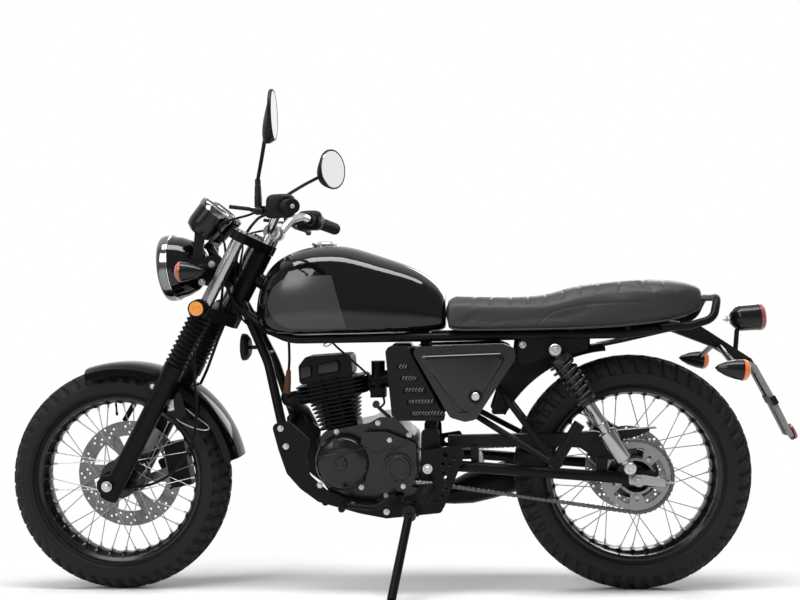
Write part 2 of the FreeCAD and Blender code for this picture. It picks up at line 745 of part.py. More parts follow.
def frame_rear():
    """Rear loop under the seat, with the damper mounts and the fender bridge."""
    half = RAIL_HALF_SPAN
    start = V(1150, half, RAIL_Z)
    loop = tube([start, V(1300, half, RAIL_Z), V(1430, half - 10, RAIL_Z + 14), V(1456, 40, RAIL_Z + 17),
                 V(1456, -40, RAIL_Z + 17), V(1430, -half + 10, RAIL_Z + 14), V(1300, -half, RAIL_Z),
                 V(1150, -half, RAIL_Z)], RAIL_RADIUS, 70)
    mounts = []
    for side in (-1, 1):
        outline = [(1050, 655), (1218, 660), (1222, 624), (1200, 618), (1118, 607), (1084, 593), (1049, 585), (1044, 612)]
        inner = side * (half + 2)
        mounts.append(slab(outline, inner, inner + side * 5, 14))
        mounts.append(cylinder(V(SHOCK_TOP_X, inner, SHOCK_TOP_Z),
                               V(SHOCK_TOP_X, side * (SHOCK_HALF_SPAN + 16), SHOCK_TOP_Z), 7))
        for x, lift in ((1180, 3), (1320, 9)):
            mounts.append(cylinder(V(x, side * half, RAIL_Z), V(x, side * half, SEAT_FOOT_Z + lift), 7))
    bridge = cylinder(V(1230, -half, RAIL_Z - 2), V(1230, half, RAIL_Z - 2), 8)
    return joined([loop, bridge] + mounts)


def frame_cradle():
    """Down tubes, bolted cradle plates under the engine and the uprights at the swingarm pivot."""
    pieces = []
    outer = CRADLE_HALF_SPAN
    inner = CRADLE_HALF_SPAN - CRADLE_PLATE
    for side in (-1, 1):
        head_foot = fork_at(560, 0, STEM_OFFSET) + V(16, side * 16, 0)
        down = tube([head_foot, V(401, side * 44, 600), V(443, side * 84, 440)], DOWNTUBE_RADIUS, 200)
        plate = slab([(417, 446), (461, 454), (516, 404), (505, 368), (514, 315), (556, 277), (600, 258),
                      (712, 234), (770, 238), (796, 296), (800, 430), (846, 430), (850, 300), (852, 218),
                      (750, 208), (708, 204), (640, 217), (534, 247), (488, 281), (454, 320), (434, 380)], side * inner, side * outer, 14)
        upright = tube([V(812, side * 66, RAIL_Z - RAIL_RADIUS / 2), V(834, side * 66, 500), V(826, side * 84, 414)],
                       DOWNTUBE_RADIUS, 200)
        stay = tube([V(842, side * 68, 470), V(1100, side * 68, 634), V(1150, side * 84, RAIL_Z)], 11, 60)
        pieces += [down, plate, upright, stay]
    for x, z in ((552, 246), (802, 222)):
        pieces.append(cylinder(V(x, -outer, z), V(x, outer, z), 9))
    pieces.append(cylinder(V(439, -inner, 426), V(439, inner, 426), 10))
    pieces.append(block(V(STAND_PIVOT_X, -outer - 7, STAND_PIVOT_Z + 4), 44, 14, 34))
    axis = stand_axis()
    pieces.append(cylinder(stand_pivot() - axis * STAND_PIN_REACH, stand_pivot() + axis * STAND_PIN_HEAD,
                           STAND_PIN_RADIUS))
    head = cylinder(fork_at(BOOT_TOP, 0, STEM_OFFSET), fork_at(UPPER_CLAMP_TOP, 0, STEM_OFFSET), HEAD_TUBE_RADIUS)
    body = joined(pieces).cut(head)
    pivot = cylinder(V(PIVOT_X, -OVERRUN, PIVOT_Z), V(PIVOT_X, OVERRUN, PIVOT_Z), AXLE_RADIUS + RUNNING_FIT)
    return body.cut(pivot)


def crankcase():
    """The engine's case, with the swept joint face that the cylinder stands on."""
    joint = CRANK + CYLINDER_UP * BARREL_FOOT
    front_top = joint - CYLINDER_BACK * (BARREL_LENGTH * 0.42)
    rear_top = joint + CYLINDER_BACK * (BARREL_LENGTH * 0.84)
    outline = [(533, 371), (front_top.x, front_top.z), (rear_top.x, rear_top.z), (692, 459), (734, 459),
               (767, 421), (790, 403), (790, 265), (696, 240), (572, 252), (537, 303)]
    case = slab(outline, -CASE_HALF_WIDTH, CASE_HALF_WIDTH, 24)
    front = V(OUTPUT_X, -CASE_HALF_WIDTH, OUTPUT_Z)
    rear = V(REAR_AXLE.x, -CASE_HALF_WIDTH, REAR_AXLE.z)
    room = 8
    path = loop_face(front, rear, DRIVE_SPROCKET_RADIUS + CHAIN_HEIGHT / 2 + room,
                     SPROCKET_RADIUS + CHAIN_HEIGHT / 2 + room)
    depth = CHAIN_Y + CHAIN_WIDTH / 2 + CASE_HALF_WIDTH + CLEARANCE
    pocket = path.extrude(V(0, depth, 0))
    reach = DRIVE_SPROCKET_RADIUS - CHAIN_HEIGHT / 2 - SEAT_GAP
    drive = cylinder(front + V(0, depth, 0), front, reach)
    return joined([case.cut(pocket), drive])


def engine_covers():
    """Left alternator and sprocket covers, right clutch cover, each on its case half."""
    left = -CASE_HALF_WIDTH
    cover_radius = 71
    depth = COVER_DEPTH
    dome = turned([(0, 0), (cover_radius, 0), (cover_radius, depth * 0.5), (cover_radius - 10, depth - 8),
                   (cover_radius - 26, depth - 2), (0, depth)], V(CRANK_X, left, CRANK_Z), SIDE * -1)
    cap = cylinder(V(CRANK_X - 4, left - depth + 2, CRANK_Z + 2), V(CRANK_X - 4, left - depth - 4, CRANK_Z + 2), 17)
    chain_cover = slab([(664, 289), (692, 269), (772, 278), (788, 323), (786, 395), (712, 425), (652, 425),
                        (642, 373)], left, left - 26, 16)
    hump = cylinder(V(OUTPUT_X + 2, left, OUTPUT_Z - 2), V(OUTPUT_X + 2, left - 34, OUTPUT_Z - 2), 37)
    left_cover = joined([dome, cap, chain_cover, hump])
    right = CASE_HALF_WIDTH
    clutch = slab([(552, 313), (592, 265), (692, 257), (762, 293), (770, 373), (722, 425), (642, 423), (562, 393)],
                  right, right + 30, 40)
    drum = turned([(0, 0), (58, 0), (58, 10), (48, 16), (0, 18)], V(692, right + 30, 339), SIDE)
    filter_cap = cylinder(V(596, right + 30, 337), V(596, right + 40, 337), 30)
    return Part.makeCompound([left_cover, joined([clutch, drum, filter_cap])])


def finned(base, first, count, length, width, spread):
    """Cooling fins square to the cylinder's axis, each a rounded plate."""
    fins = []
    for index in range(count):
        level = base + CYLINDER_UP * (first + index * FIN_PITCH)
        grow = spread * index
        long_half = length / 2 + grow
        wide_half = width / 2
        cross = CYLINDER_BACK
        corners = [level + cross * (-long_half) + V(0, -wide_half, 0), level + cross * long_half + V(0, -wide_half, 0),
                   level + cross * long_half + V(0, wide_half, 0), level + cross * (-long_half) + V(0, wide_half, 0)]
        fins.append(Part.Face(rounded_wire(corners, 18)).extrude(CYLINDER_UP * FIN_THICKNESS))
    return fins


def head_foot():
    """Where the head stands on the barrel."""
    return CRANK + CYLINDER_UP * (BARREL_FOOT + FIN_COUNT * FIN_PITCH)


def cylinder_barrel():
    """The finned barrel between case and head."""
    foot = CRANK + CYLINDER_UP * BARREL_FOOT
    length = FIN_COUNT * FIN_PITCH
    core_radius = 42
    flange = 6
    core = cylinder(foot, foot + CYLINDER_UP * length, core_radius)
    fins = finned(foot, FIN_THICKNESS, FIN_COUNT, BARREL_LENGTH, BARREL_WIDTH, 2.1)
    tunnel_turn = -CYLINDER_TILT
    tunnel = block(foot + CYLINDER_UP * (length / 2) + V(0, core_radius + 2, 0), 34, 28, length, tunnel_turn)
    base = block(foot + CYLINDER_UP * (flange / 2), BARREL_LENGTH, BARREL_LENGTH, flange, tunnel_turn)
    return joined([core, tunnel, base] + fins)


def cylinder_head():
    """Finned head with its rocker cover, exhaust port in front and inlet port behind."""
    foot = head_foot()
    half_width = 52
    core = block(foot + CYLINDER_UP * (HEAD_HEIGHT / 2), HEAD_LENGTH * 0.66, half_width * 2, HEAD_HEIGHT, -CYLINDER_TILT)
    fins = finned(foot, FIN_THICKNESS, 5, HEAD_LENGTH, BARREL_WIDTH, 0)
    level = foot + CYLINDER_UP * HEAD_HEIGHT
    corners = []
    cover_shares = ((-1, 0.0), (0.775, 0.0), (0.85, 0.786), (-0.625, 1.0), (-0.9125, 0.714))
    for across, up in cover_shares:
        corners.append(level + CYLINDER_BACK * (across * ROCKER_HALF) + CYLINDER_UP * (up * ROCKER_HEIGHT)
                       + V(0, -half_width, 0))
    cover = Part.Face(rounded_wire(corners, 12)).extrude(V(0, half_width * 2, 0))
    root = foot + CYLINDER_UP * PORT_LEVEL
    port = cylinder(root, root - CYLINDER_BACK * EXHAUST_REACH, 20)
    inlet = cylinder(root, root + CYLINDER_BACK * INLET_REACH, 19)
    return joined([core, cover, port, inlet] + fins)


def port_mouths():
    """The ends of the exhaust and inlet ports on the head."""
    root = head_foot() + CYLINDER_UP * PORT_LEVEL
    return root - CYLINDER_BACK * EXHAUST_REACH, root + CYLINDER_BACK * INLET_REACH


def carburettor():
    """Inlet stub, carburettor body with its float bowl, and the rubber to the air box."""
    inlet = port_mouths()[1]
    cross = CYLINDER_BACK
    flange = cylinder(inlet, inlet + cross * 8, 26)
    body_end = inlet + cross * 46
    body = cylinder(inlet + cross * 8, body_end, 19)
    slide = cylinder(inlet + cross * 27 - UP * 34, inlet + cross * 27 + UP * 52, 18)
    bowl = block(inlet + cross * 27 - UP * 30, 40, 44, 26)
    rubber = tube([body_end, body_end + cross * 12, V(AIR_BOX_X, 0, body_end.z + 4)], 23, 30)
    return joined([flange, body, slide, bowl, rubber])



def air_box():
    """The middle box behind the side covers, with its slatted cheek on each side."""
    front = AIR_BOX_X
    half = 50
    core = slab([(front, 474), (front, 632), (AIR_BOX_END, 636), (955, 560), (915, 474)], -half, half, 12)
    cheeks = []
    slats = 5
    for side in (-1, 1):
        inner = side * half
        cheek = slab([(715, 628), (722, 640), (769, 640), (866, 452), (744, 455), (728, 468)], inner,
                     inner + side * 70, 8)
        for index in range(slats):
            z = 471 + index * 29.5
            slot = block(V(817 - index * 14.6, inner + side * 68, z), 84 - index * 13.3, 16, 13)
            cheek = cheek.cut(slot)
        cheeks.append(cheek)
    return joined([core] + cheeks)


def side_covers():
    """Triangular covers with a raised rim and a flat field, one each side."""
    inner = 82
    outline = [(776, 640), (1010, 643), (1038, 632), (1039, 606), (937, 456), (911, 451), (874, 462)]
    field = [(798, 628), (1008, 630), (1018, 610), (920, 474), (892, 474)]
    plate = slab(outline, inner, inner + 48, 16)
    hollow = slab(field, inner + 42, inner + OVERRUN, 12)
    raised = [(814, 619), (994, 621), (908, 494), (888, 492)]
    panel = slab(raised, inner + 42, inner + 47, 10)
    knob = cylinder(V(937, inner + 30, 514), V(937, inner + 54, 514), 8.5)
    lock = joined([plate.cut(hollow), panel, knob])
    return both_sides(lock)


def seat():
    """The stepped bench seat as a plain closed form."""
    stations = []
    profile = ((0.0, 0.80, 0.10, 0.66), (0.012, 0.90, 0.04, 0.72), (0.12, 0.96, 0.0, 0.70), (0.28, 0.98, 0.0, 0.68),
               (0.40, 1.0, 0.0, 0.72), (0.52, 1.0, 0.0, 0.88), (0.66, 0.99, 0.03, 0.97), (0.82, 0.96, 0.12, 1.0),
               (0.92, 0.88, 0.22, 0.98), (0.985, 0.72, 0.34, 0.90), (1.0, 0.52, 0.44, 0.80))
    for along, half, foot, top in profile:
        stations.append((SEAT_FRONT_X + SEAT_LENGTH * along, SEAT_HALF_WIDTH * half,
                         SEAT_FOOT_Z + SEAT_HEIGHT * foot, SEAT_FOOT_Z + SEAT_HEIGHT * top))
    section = ((0.0, 0.0), (0.6, 0.0), (0.93, 0.02), (1.0, 0.2), (0.99, 0.5), (0.93, 0.8), (0.72, 0.95), (0.4, 1.0),
               (0.0, 1.0))
    return skin(stations, section)


def fuel_tank():
    """The fuel tank: one smooth shell with knee recesses, a tunnel for the backbone and the filler."""
    profile = ((0.0, 0.42, 0.20, 0.40), (0.015, 0.58, 0.12, 0.52), (0.07, 0.80, 0.04, 0.76), (0.18, 0.95, 0.0, 0.93),
               (0.32, 1.0, 0.0, 1.0), (0.5, 0.98, 0.0, 0.98), (0.66, 0.88, 0.0, 0.87), (0.82, 0.74, 0.0, 0.74),
               (0.94, 0.66, 0.01, 0.58), (0.99, 0.60, 0.04, 0.46), (1.0, 0.52, 0.08, 0.38))
    stations = []
    for along, half, foot, top in profile:
        stations.append((TANK_FRONT_X + TANK_LENGTH * along, TANK_HALF_WIDTH * half,
                         TANK_FOOT_Z + TANK_HEIGHT * foot, TANK_FOOT_Z + TANK_HEIGHT * top))
    section = ((0.0, 0.0), (0.55, 0.0), (0.86, 0.02), (0.98, 0.14), (1.0, 0.34), (0.95, 0.6), (0.8, 0.83), (0.5, 0.96),
               (0.0, 1.0))
    shell = skin(stations, section)
    tunnel = tube(spine_path(), SPINE_RADIUS + CLEARANCE, 160)
    rails = [tube(rail_path(side), RAIL_RADIUS + SEAT_GAP, 90) for side in (-1, 1)]
    cap_x = TANK_FRONT_X + TANK_LENGTH * 0.36
    cap_z = TANK_FOOT_Z + TANK_HEIGHT * 0.94
    cap = cylinder(V(cap_x, 0, cap_z), V(cap_x, 0, TANK_FOOT_Z + TANK_HEIGHT * 1.02), 34)
    head = cylinder(fork_at(500, 0, STEM_OFFSET), fork_at(760, 0, STEM_OFFSET), HEAD_TUBE_RADIUS + CLEARANCE)
    return shell.fuse(cap).cut([tunnel, head] + rails)


def rear_fender():
    """The inner mudguard ahead of the rear wheel and the tray that runs back under the seat."""
    radius = REAR_TYRE_RADIUS + 36
    lip = radius - 14
    half = 59
    centre = REAR_AXLE + V(-45, 0, -5)
    crown = [(lip, half), (radius - 4, half - 6), (radius, half - 24), (radius, 0)]
    outer = crown + [(r, -y) for r, y in reversed(crown[:-1])]
    inner = [(r - FENDER_SHEET, y * (1 - FENDER_SHEET / half)) for r, y in reversed(outer)]
    points = [V(r, y, 0) for r, y in outer + inner]
    face = Part.Face(Part.makePolygon(points + points[:1]))
    start = 150
    sweep = 56
    shell = face.revolve(V(0, 0, 0), SIDE, sweep)
    shell.rotate(V(0, 0, 0), SIDE, -start)
    shell.translate(centre)
    wheel_room = cylinder(centre - V(0, OVERRUN, 0), centre + V(0, OVERRUN, 0), lip)
    outline = [(976, 460), (1030, 460), (1216, 590), (1216, 641), (1060, 641), (1004, 540)]
    panels = []
    for side in (-1, 1):
        panels.append(slab(outline, side * (half - 7), side * (half - 3), 8).cut(wheel_room))
    tray = slab([(1262, 629), (1310, 638), (1440, 666), (1438, 670), (1310, 643), (1262, 634)], -half, half, 2)
    hanger = slab([(1224, 627), (1236, 626), (1236, 654), (1224, 654)], -20, 20, 1)
    return joined([shell, tray, hanger] + panels)


def swingarm():
    """Two arms on a pivot tube, a cross brace, axle lugs and the rear axle."""
    pieces = []
    half = SWINGARM_HALF_SPAN
    axle = REAR_AXLE
    for side in (-1, 1):
        start = V(PIVOT_X, side * 64, PIVOT_Z)
        bend = V(PIVOT_X + 110, side * half, PIVOT_Z - 1)
        end = V(axle.x - 34, side * half, axle.z + 1)
        pieces.append(tube([start, bend, end], SWINGARM_RADIUS, 120))
        pieces.append(block(V(axle.x + 2, side * half, axle.z), 84, 20, 38))
        pieces.append(cylinder(V(SHOCK_FOOT_X, side * (half - 6), SHOCK_FOOT_Z),
                               V(SHOCK_FOOT_X, side * (SHOCK_HALF_SPAN + 16), SHOCK_FOOT_Z), 7))
        pieces.append(block(V(SHOCK_FOOT_X, side * half, SHOCK_FOOT_Z - 16), 26, 12, 40))
    pieces.append(cylinder(V(PIVOT_X, -72, PIVOT_Z), V(PIVOT_X, 72, PIVOT_Z), 21))
    pieces.append(cylinder(V(945, -half, PIVOT_Z - 4), V(945, half, PIVOT_Z - 4), 14))
    axle_half = half + 28
    pieces.append(cylinder(axle - V(0, axle_half, 0), axle + V(0, axle_half, 0), AXLE_RADIUS))
    pivot_half = CRADLE_HALF_SPAN + 12
    pieces.append(cylinder(V(PIVOT_X, -pivot_half, PIVOT_Z), V(PIVOT_X, pivot_half, PIVOT_Z), AXLE_RADIUS))
    return joined(pieces)


def rear_shocks():
    """Twin dampers: chrome lower shroud, body, exposed spring coils and eyes."""
    top = V(SHOCK_TOP_X, SHOCK_HALF_SPAN, SHOCK_TOP_Z)
    foot = V(SHOCK_FOOT_X, SHOCK_HALF_SPAN, SHOCK_FOOT_Z)
    axis = foot - top
    length = axis.Length
    axis.normalize()
    eye_half = 12
    eyes = [cylinder(p - V(0, eye_half, 0), p + V(0, eye_half, 0), 16) for p in (top, foot)]
    coils = 7
    spring_start = 34
    pitch = 15
    wire = 5
    spring_radius = 26
    profile = [(0, 6), (12, 6), (12, spring_start - 6), (spring_radius, spring_start - 6)]
    for index in range(coils):
        level = spring_start + index * pitch
        profile += [(spring_radius, level), (spring_radius, level + wire), (17, level + wire + 2),
                    (17, level + pitch - 2)]
    spring_end = spring_start + coils * pitch
    profile += [(21, spring_end), (21, spring_end + 8), (14, spring_end + 10), (14, length - 106), (22, length - 104),
                (22, length - 24), (12, length - 18), (12, length - 6), (0, length - 6)]
    body = turned(profile, top, axis)
    one = joined([body] + eyes)
    bolts = [cylinder(p - V(0, OVERRUN / 4, 0), p + V(0, OVERRUN / 4, 0), 7 + RUNNING_FIT) for p in (top, foot)]
    return both_sides(one.cut(bolts))


def exhaust_pipe():
    """The header from the head, down in front of the engine and back under its right side."""
    mouth = port_mouths()[0]
    return tube([mouth, mouth - CYLINDER_BACK * 36, V(470, 78, 462), V(488, 122, 410), V(504, 128, 322),
                 V(570, 132, 214), V(720, 136, 196), V(840, 146, 208)], 16, 60)


def muffler():
    """A short tapering silencer low on the right."""
    start = V(840, 146, 208)
    end = V(1150, 168, 292)
    axis = end - start
    length = axis.Length
    profile = [(0, 0), (20, 0), (30, 30), (42, 80), (45, 140), (45, length - 30), (34, length - 6),
               (20, length), (0, length)]
    body = turned(profile, start, axis)
    bore = turned([(0, length - 60), (14, length - 60), (14, length + 1), (0, length + 1)], start, axis)
    hanger = slab([(1010, 300), (1034, 318), (1060, 318), (1060, 286), (1010, 276)], SWINGARM_HALF_SPAN + 30, 150, 6)
    return joined([body.cut(bore), hanger])


def grab_rail():
    """A tube loop that rises behind the seat."""
    half = 104
    z = 692
    right = [V(TAIL_X - 112, half, z - 16), V(TAIL_X - 42, half, z - 12), V(TAIL_X + 16, half - 6, z + 4),
             V(TAIL_X + 34, half - 34, z + 56)]
    left = [V(p.x, -p.y, p.z) for p in reversed(right)]
    return tube(right + left, 10, 40)


def tail_bracket():
    """The tail arm: carries lamp, indicators and the slim plate carrier with its clamp and reflector."""
    x = TAIL_X
    arm = slab([(x - 78, 676), (x - 5, 681), (x + 128, 590), (x + 138, 572), (x + 124, 566), (x + 33, 622),
                (x - 72, 664)], -24, 24, 6)
    stalk = cylinder(V(x + 94, 0, 600), V(x + 100, 0, 664), 6)
    half = CARRIER_HALF_WIDTH
    carrier = slab([(x + 122, 584), (x + 138, 574), (x + 184, 486), (x + 227, 394), (x + 219, 390), (x + 176, 480),
                    (x + 132, 566), (x + 116, 576)], -half, half, 3)
    slot = block(V(x + 160, 0, 522), half * 2, CARRIER_SLOT, half * 2)
    clamp_centre = V(x + 180, 0, 484)
    clamp = block(clamp_centre, 15, half * 2 + 6, 22, -27)
    spot = V(x + 223, 0, 398)
    reflector = cylinder(spot, spot + plate_axis() * 13, 21)
    holes = [plate_hole(side, OVERRUN) for side in (-1, 1)]
    return joined([arm, stalk, carrier.cut([slot] + holes), clamp, reflector])


def plate_hole(side, reach):
    """One of the two holes that a number plate is bolted through."""
    spot = plate_hole_spot(side)
    axis = plate_axis()
    return cylinder(spot - axis * reach / 2, spot + axis * reach / 2, PLATE_HOLE_RADIUS)


def plate_hole_spot(side):
    """The middle of one plate hole."""
    return V(TAIL_X + PLATE_HOLE_BACK, side * PLATE_HOLE_HALF_SPAN, PLATE_HOLE_Z)


def plate_axis():
    """The way the number plate faces: rearward and a little up."""
    lower = V(TAIL_X + 227, 0, 394)
    upper = V(TAIL_X + 184, 0, 486)
    down = lower - upper
    axis = V(-down.z, 0, down.x)
    axis.normalize()
    return axis


def rear_lights():
    """Round tail lamp on its stalk and a direction lamp each side."""
    axis = V(1, 0, 0.06)
    axis.normalize()
    lamp = turned([(0, -10), (14, -8), (30, 6), (33, 14), (34, 66), (31, 72), (0, 74)], V(TAIL_X + 92, 0, 692), axis)
    y = 185
    profile = [(0, -64), (8, -56), (17, -38), (23, -16), (25, 0), (24, 8), (16, 14), (0, 15)]
    winker = turned(profile, V(TAIL_X + 57, y, 575), V(1, 0, -0.1))
    stalk = cylinder(V(TAIL_X + 46, 24 + SEAT_GAP, 626), V(TAIL_X + 46, y - 8, 580), 7)
    right = joined([winker, stalk])
    return Part.makeCompound([lamp, right, mirrored(right)])


def footrests():
    """Rider's pegs on perforated heel plates and the passenger's folded pegs on tube triangles."""
    pieces = []
    outer = CRADLE_HALF_SPAN + CRADLE_PLATE
    plate = slab([(804, 380), (897, 394), (908, 368), (854, 236), (822, 236), (830, 322), (804, 324)], outer + 22,
                 outer + 27, 8)
    holes = ((860, 368, 7), (882, 362, 6), (854, 346, 5), (872, 346, 5), (854, 326, 6), (862, 312, 6), (858, 288, 6),
             (852, 266, 5), (838, 258, 5))
    for x, z, radius in holes:
        plate = plate.cut(cylinder(V(x, outer, z), V(x, outer + OVERRUN / 8, z), radius))
    boss = cylinder(V(834, CRADLE_HALF_SPAN, 252), V(834, outer + 22, 252), 11)
    spacer = cylinder(V(828, CRADLE_HALF_SPAN, 372), V(828, outer + 22, 372), 9)
    peg_root = V(821, CRADLE_HALF_SPAN, 282)
    peg = cylinder(peg_root, peg_root + V(-12, 150, 2), 12)
    rider = joined([plate, boss, spacer, peg])
    y = 150
    upper = cylinder(V(976, 69, 558), V(1127, y + 8, 352), 8)
    lower = tube([V(934, 72, 524), V(929, 72, 466), V(1119, y + 7, 354)], 8, 30)
    knuckle = block(V(1128, y + 8, 353), 28, 22, 24, 55)
    folded = cylinder(V(1130, y + 8, 356), V(1188, y + 14, 449), 14)
    passenger = joined([upper, lower, knuckle, folded])
    pieces.append(rider)
    pieces.append(passenger)
    shape = Part.makeCompound(pieces)
    return both_sides(shape)


def foot_controls():
    """Gear lever on the left, brake pedal on the right."""
    y = CRADLE_HALF_SPAN + 34
    gear = tube([V(728, -y, 266), V(682, -y, 238), V(604, -y, 246)], 7, 60)
    toe = cylinder(V(604, -y + 8, 246), V(604, -y - 42, 246), 9)
    shaft = cylinder(V(728, -CASE_HALF_WIDTH, 266), V(728, -y - 8, 266), 8)
    left = joined([gear, toe, shaft])
    pedal = tube([V(728, y, 236), V(682, y + 4, 232), V(592, y + 18, 256)], 7, 60)
    pad = block(V(588, y + 22, 260), 40, 34, 10)
    pivot = cylinder(V(728, CRADLE_HALF_SPAN, 236), V(728, y + 8, 236), 9)
    return Part.makeCompound([left, joined([pedal, pad, pivot])])


def drive_chain():
    """The chain as one closed loop round both sprockets, with its link plates' waist."""
    front = V(OUTPUT_X, CHAIN_Y, OUTPUT_Z)
    rear = V(REAR_AXLE.x, CHAIN_Y, REAR_AXLE.z)
    outer = loop_face(front, rear, DRIVE_SPROCKET_RADIUS + CHAIN_HEIGHT / 2, SPROCKET_RADIUS + CHAIN_HEIGHT / 2)
    inner = loop_face(front, rear, DRIVE_SPROCKET_RADIUS - CHAIN_HEIGHT / 2, SPROCKET_RADIUS - CHAIN_HEIGHT / 2)
    band = outer.cut(inner).extrude(V(0, CHAIN_WIDTH, 0))
    band.translate(V(0, -CHAIN_WIDTH / 2, 0))
    roller = loop_face(front, rear, DRIVE_SPROCKET_RADIUS + ROLLER_SEAT, SPROCKET_RADIUS + ROLLER_SEAT)
    groove = roller.extrude(V(0, CHAIN_GROOVE, 0))
    groove.translate(V(0, -CHAIN_GROOVE / 2, 0))
    return band.cut(groove)


def loop_face(front, rear, front_radius, rear_radius):
    """The area inside a belt line round two wheels."""
    span = rear - front
    reach = span.Length
    heading = math.atan2(span.z, span.x)
    open_turn = math.acos((front_radius - rear_radius) / reach)
    points = []
    for sign in (1, -1):
        turn = heading + sign * open_turn
        out = V(math.cos(turn), 0, math.sin(turn))
        points.append((front + out * front_radius, rear + out * rear_radius))
    back_turn = heading + math.pi
    front_mid = front + V(math.cos(back_turn), 0, math.sin(back_turn)) * front_radius
    rear_mid = rear + V(math.cos(heading), 0, math.sin(heading)) * rear_radius
    edges = [Part.Arc(points[0][0], front_mid, points[1][0]).toShape(), Part.makeLine(points[1][0], points[1][1]),
             Part.Arc(points[1][1], rear_mid, points[0][1]).toShape(), Part.makeLine(points[0][1], points[0][0])]
    return Part.Face(Part.Wire(edges))


def chain_guard():
    """The pressed guard over the chain, from the cradle to the sprocket."""
    top = [(866, 410), (1048, 412), (1141, 411), (1235, 418), (1262, 411), (1297, 420), (1388, 426)]
    foot = [(1340, 404), (1294, 395), (1272, 376), (1281, 345), (1234, 352), (1197, 377), (1153, 381), (922, 381),
            (866, 376)]
    outer = CHAIN_Y - CHAIN_WIDTH / 2 - CLEARANCE
    plate = slab(top + foot, outer - FENDER_SHEET, outer, 4)
    under = [(x, z - FENDER_SHEET) for x, z in reversed(top)]
    lip = slab(top + under, outer - FENDER_SHEET / 2, CHAIN_Y + CHAIN_WIDTH / 2 + CLEARANCE, 1)
    tabs = []
    for outline in ([(1238, 306), (1260, 304), (1266, 352), (1236, 352)], [(924, 338), (944, 336), (944, 386), (924, 386)]):
        tabs.append(slab(outline, outer - SWINGARM_RADIUS / 2 - CLEARANCE, outer - FENDER_SHEET / 2, 3))
    return joined([plate, lip] + tabs)


def horn():
    """A disc horn in front of the down tubes on its strap."""
    centre = V(330, 0, 640)
    dish = turned([(0, -14), (24, -14), (34, -6), (36, 0), (36, 6), (0, 10)], centre, BACK * -1)
    strap = slab([(340, 634), (372, 634), (396, 622), (396, 628), (372, 644), (340, 644)], -9, 9, 2)
    bar = cylinder(V(396, -44 + DOWNTUBE_RADIUS, 625), V(396, 44 - DOWNTUBE_RADIUS, 625), 5)
    return joined([dish, strap, bar])


def rear_caliper():
    """The rear brake caliper above the disc, on its stay."""
    turn = math.radians(118)
    reach = REAR_DISC_RADIUS - 12
    spot = REAR_AXLE + V(reach * math.cos(turn), 0, reach * math.sin(turn))
    body = block(V(spot.x, REAR_DISC_Y + 4, spot.z + 8), 86, 40, 46, 28)
    gap = wheel_ring([(0, REAR_DISC_Y - 5), (REAR_DISC_RADIUS + 4, REAR_DISC_Y - 5),
                      (REAR_DISC_RADIUS + 4, REAR_DISC_Y + 5), (0, REAR_DISC_Y + 5)], REAR_AXLE)
    stay_shape = [(-18, -18), (18, -18), (16, 22), (-7, 78), (-57, 98), (-77, 82)]
    stay = slab([(REAR_AXLE.x + x, REAR_AXLE.z + z) for x, z in stay_shape], REAR_DISC_Y + 12,
                SWINGARM_HALF_SPAN - 10, 8)
    return joined([body.cut(gap), stay])


def front_lines():
    """Brake hose to the caliper and the speedometer cable to the hub, both on the steering."""
    hose = tube([fork_at(BOOT_TOP, 60, 30), fork_at(BOOT_TOP - 60, 62, 34), fork_at(BOOT_TOP - 150, 76, 42),
                 fork_at(190, 77, 46), V(152, 74, 402), V(144, 66, 372)], 4, 200)
    feed = tube([fork_at(LOWER_CLAMP_TOP, 60, 30), fork_at(590, 60, 8), fork_at(660, 60, -24), fork_at(740, 64, -30),
                 fork_at(792, 96, -24), fork_at(812, 128, 0)], 4, 200)
    cable = tube([fork_at(BOOT_TOP, -66, 20), V(208, -68, 631), V(213, -76, 559), V(220, -78, 494),
                  V(213, -77, 429), V(193, -74, 372), V(150, -68, 318), V(95, -62, 287), V(10, -59, 276)], 3.5, 200)
    drive = tube([fork_at(LOWER_CLAMP_TOP, -56, 30), fork_at(590, -56, 8), fork_at(650, -52, -40), V(236, -50, 908),
                  V(221, -50, 939)], 3.5, 200)
    return Part.makeCompound([hose, feed, cable, drive])


def stand_axis():
    """The side stand's pivot axis, square to the leg both down and folded."""
    down = stand_foot() - stand_pivot()
    folded = V(238, -32, -26)
    axis = down.cross(folded)
    axis.normalize()
    return axis


def stand_pivot():
    """The stand's pivot point."""
    return V(STAND_PIVOT_X, STAND_PIVOT_Y, STAND_PIVOT_Z)


def ground_z(y):
    """Height of the ground in the upright drawing at a distance to the side, once leaned."""
    turn = math.radians(LEAN)
    crown = FRONT_TYRE_WIDTH / 2
    return (-crown * (1 - math.cos(turn)) - y * math.sin(turn)) / math.cos(turn)


def stand_foot():
    """The middle of the stand's foot, just above the ground."""
    return V(STAND_FOOT_X, STAND_FOOT_Y, ground_z(STAND_FOOT_Y) + STAND_RADIUS)


def side_stand():
    """A bent bar with its pivot fork and a foot pad flat on the ground."""
    pivot = stand_pivot()
    foot = stand_foot()
    axis = stand_axis()
    leg = cylinder(pivot, foot, STAND_RADIUS)
    barrel = cylinder(pivot - axis * STAND_BARREL_HALF, pivot + axis * STAND_BARREL_HALF, 17)
    bore = cylinder(pivot - axis * OVERRUN, pivot + axis * OVERRUN, STAND_PIN_RADIUS + RUNNING_FIT)
    turn = math.radians(LEAN)
    normal = V(0, math.sin(turn), math.cos(turn))
    pad_foot = V(STAND_FOOT_X, STAND_FOOT_Y, ground_z(STAND_FOOT_Y))
    pad = cylinder(pad_foot, pad_foot + normal * 7, 24)
    return joined([leg, barrel, pad]).cut(bore)


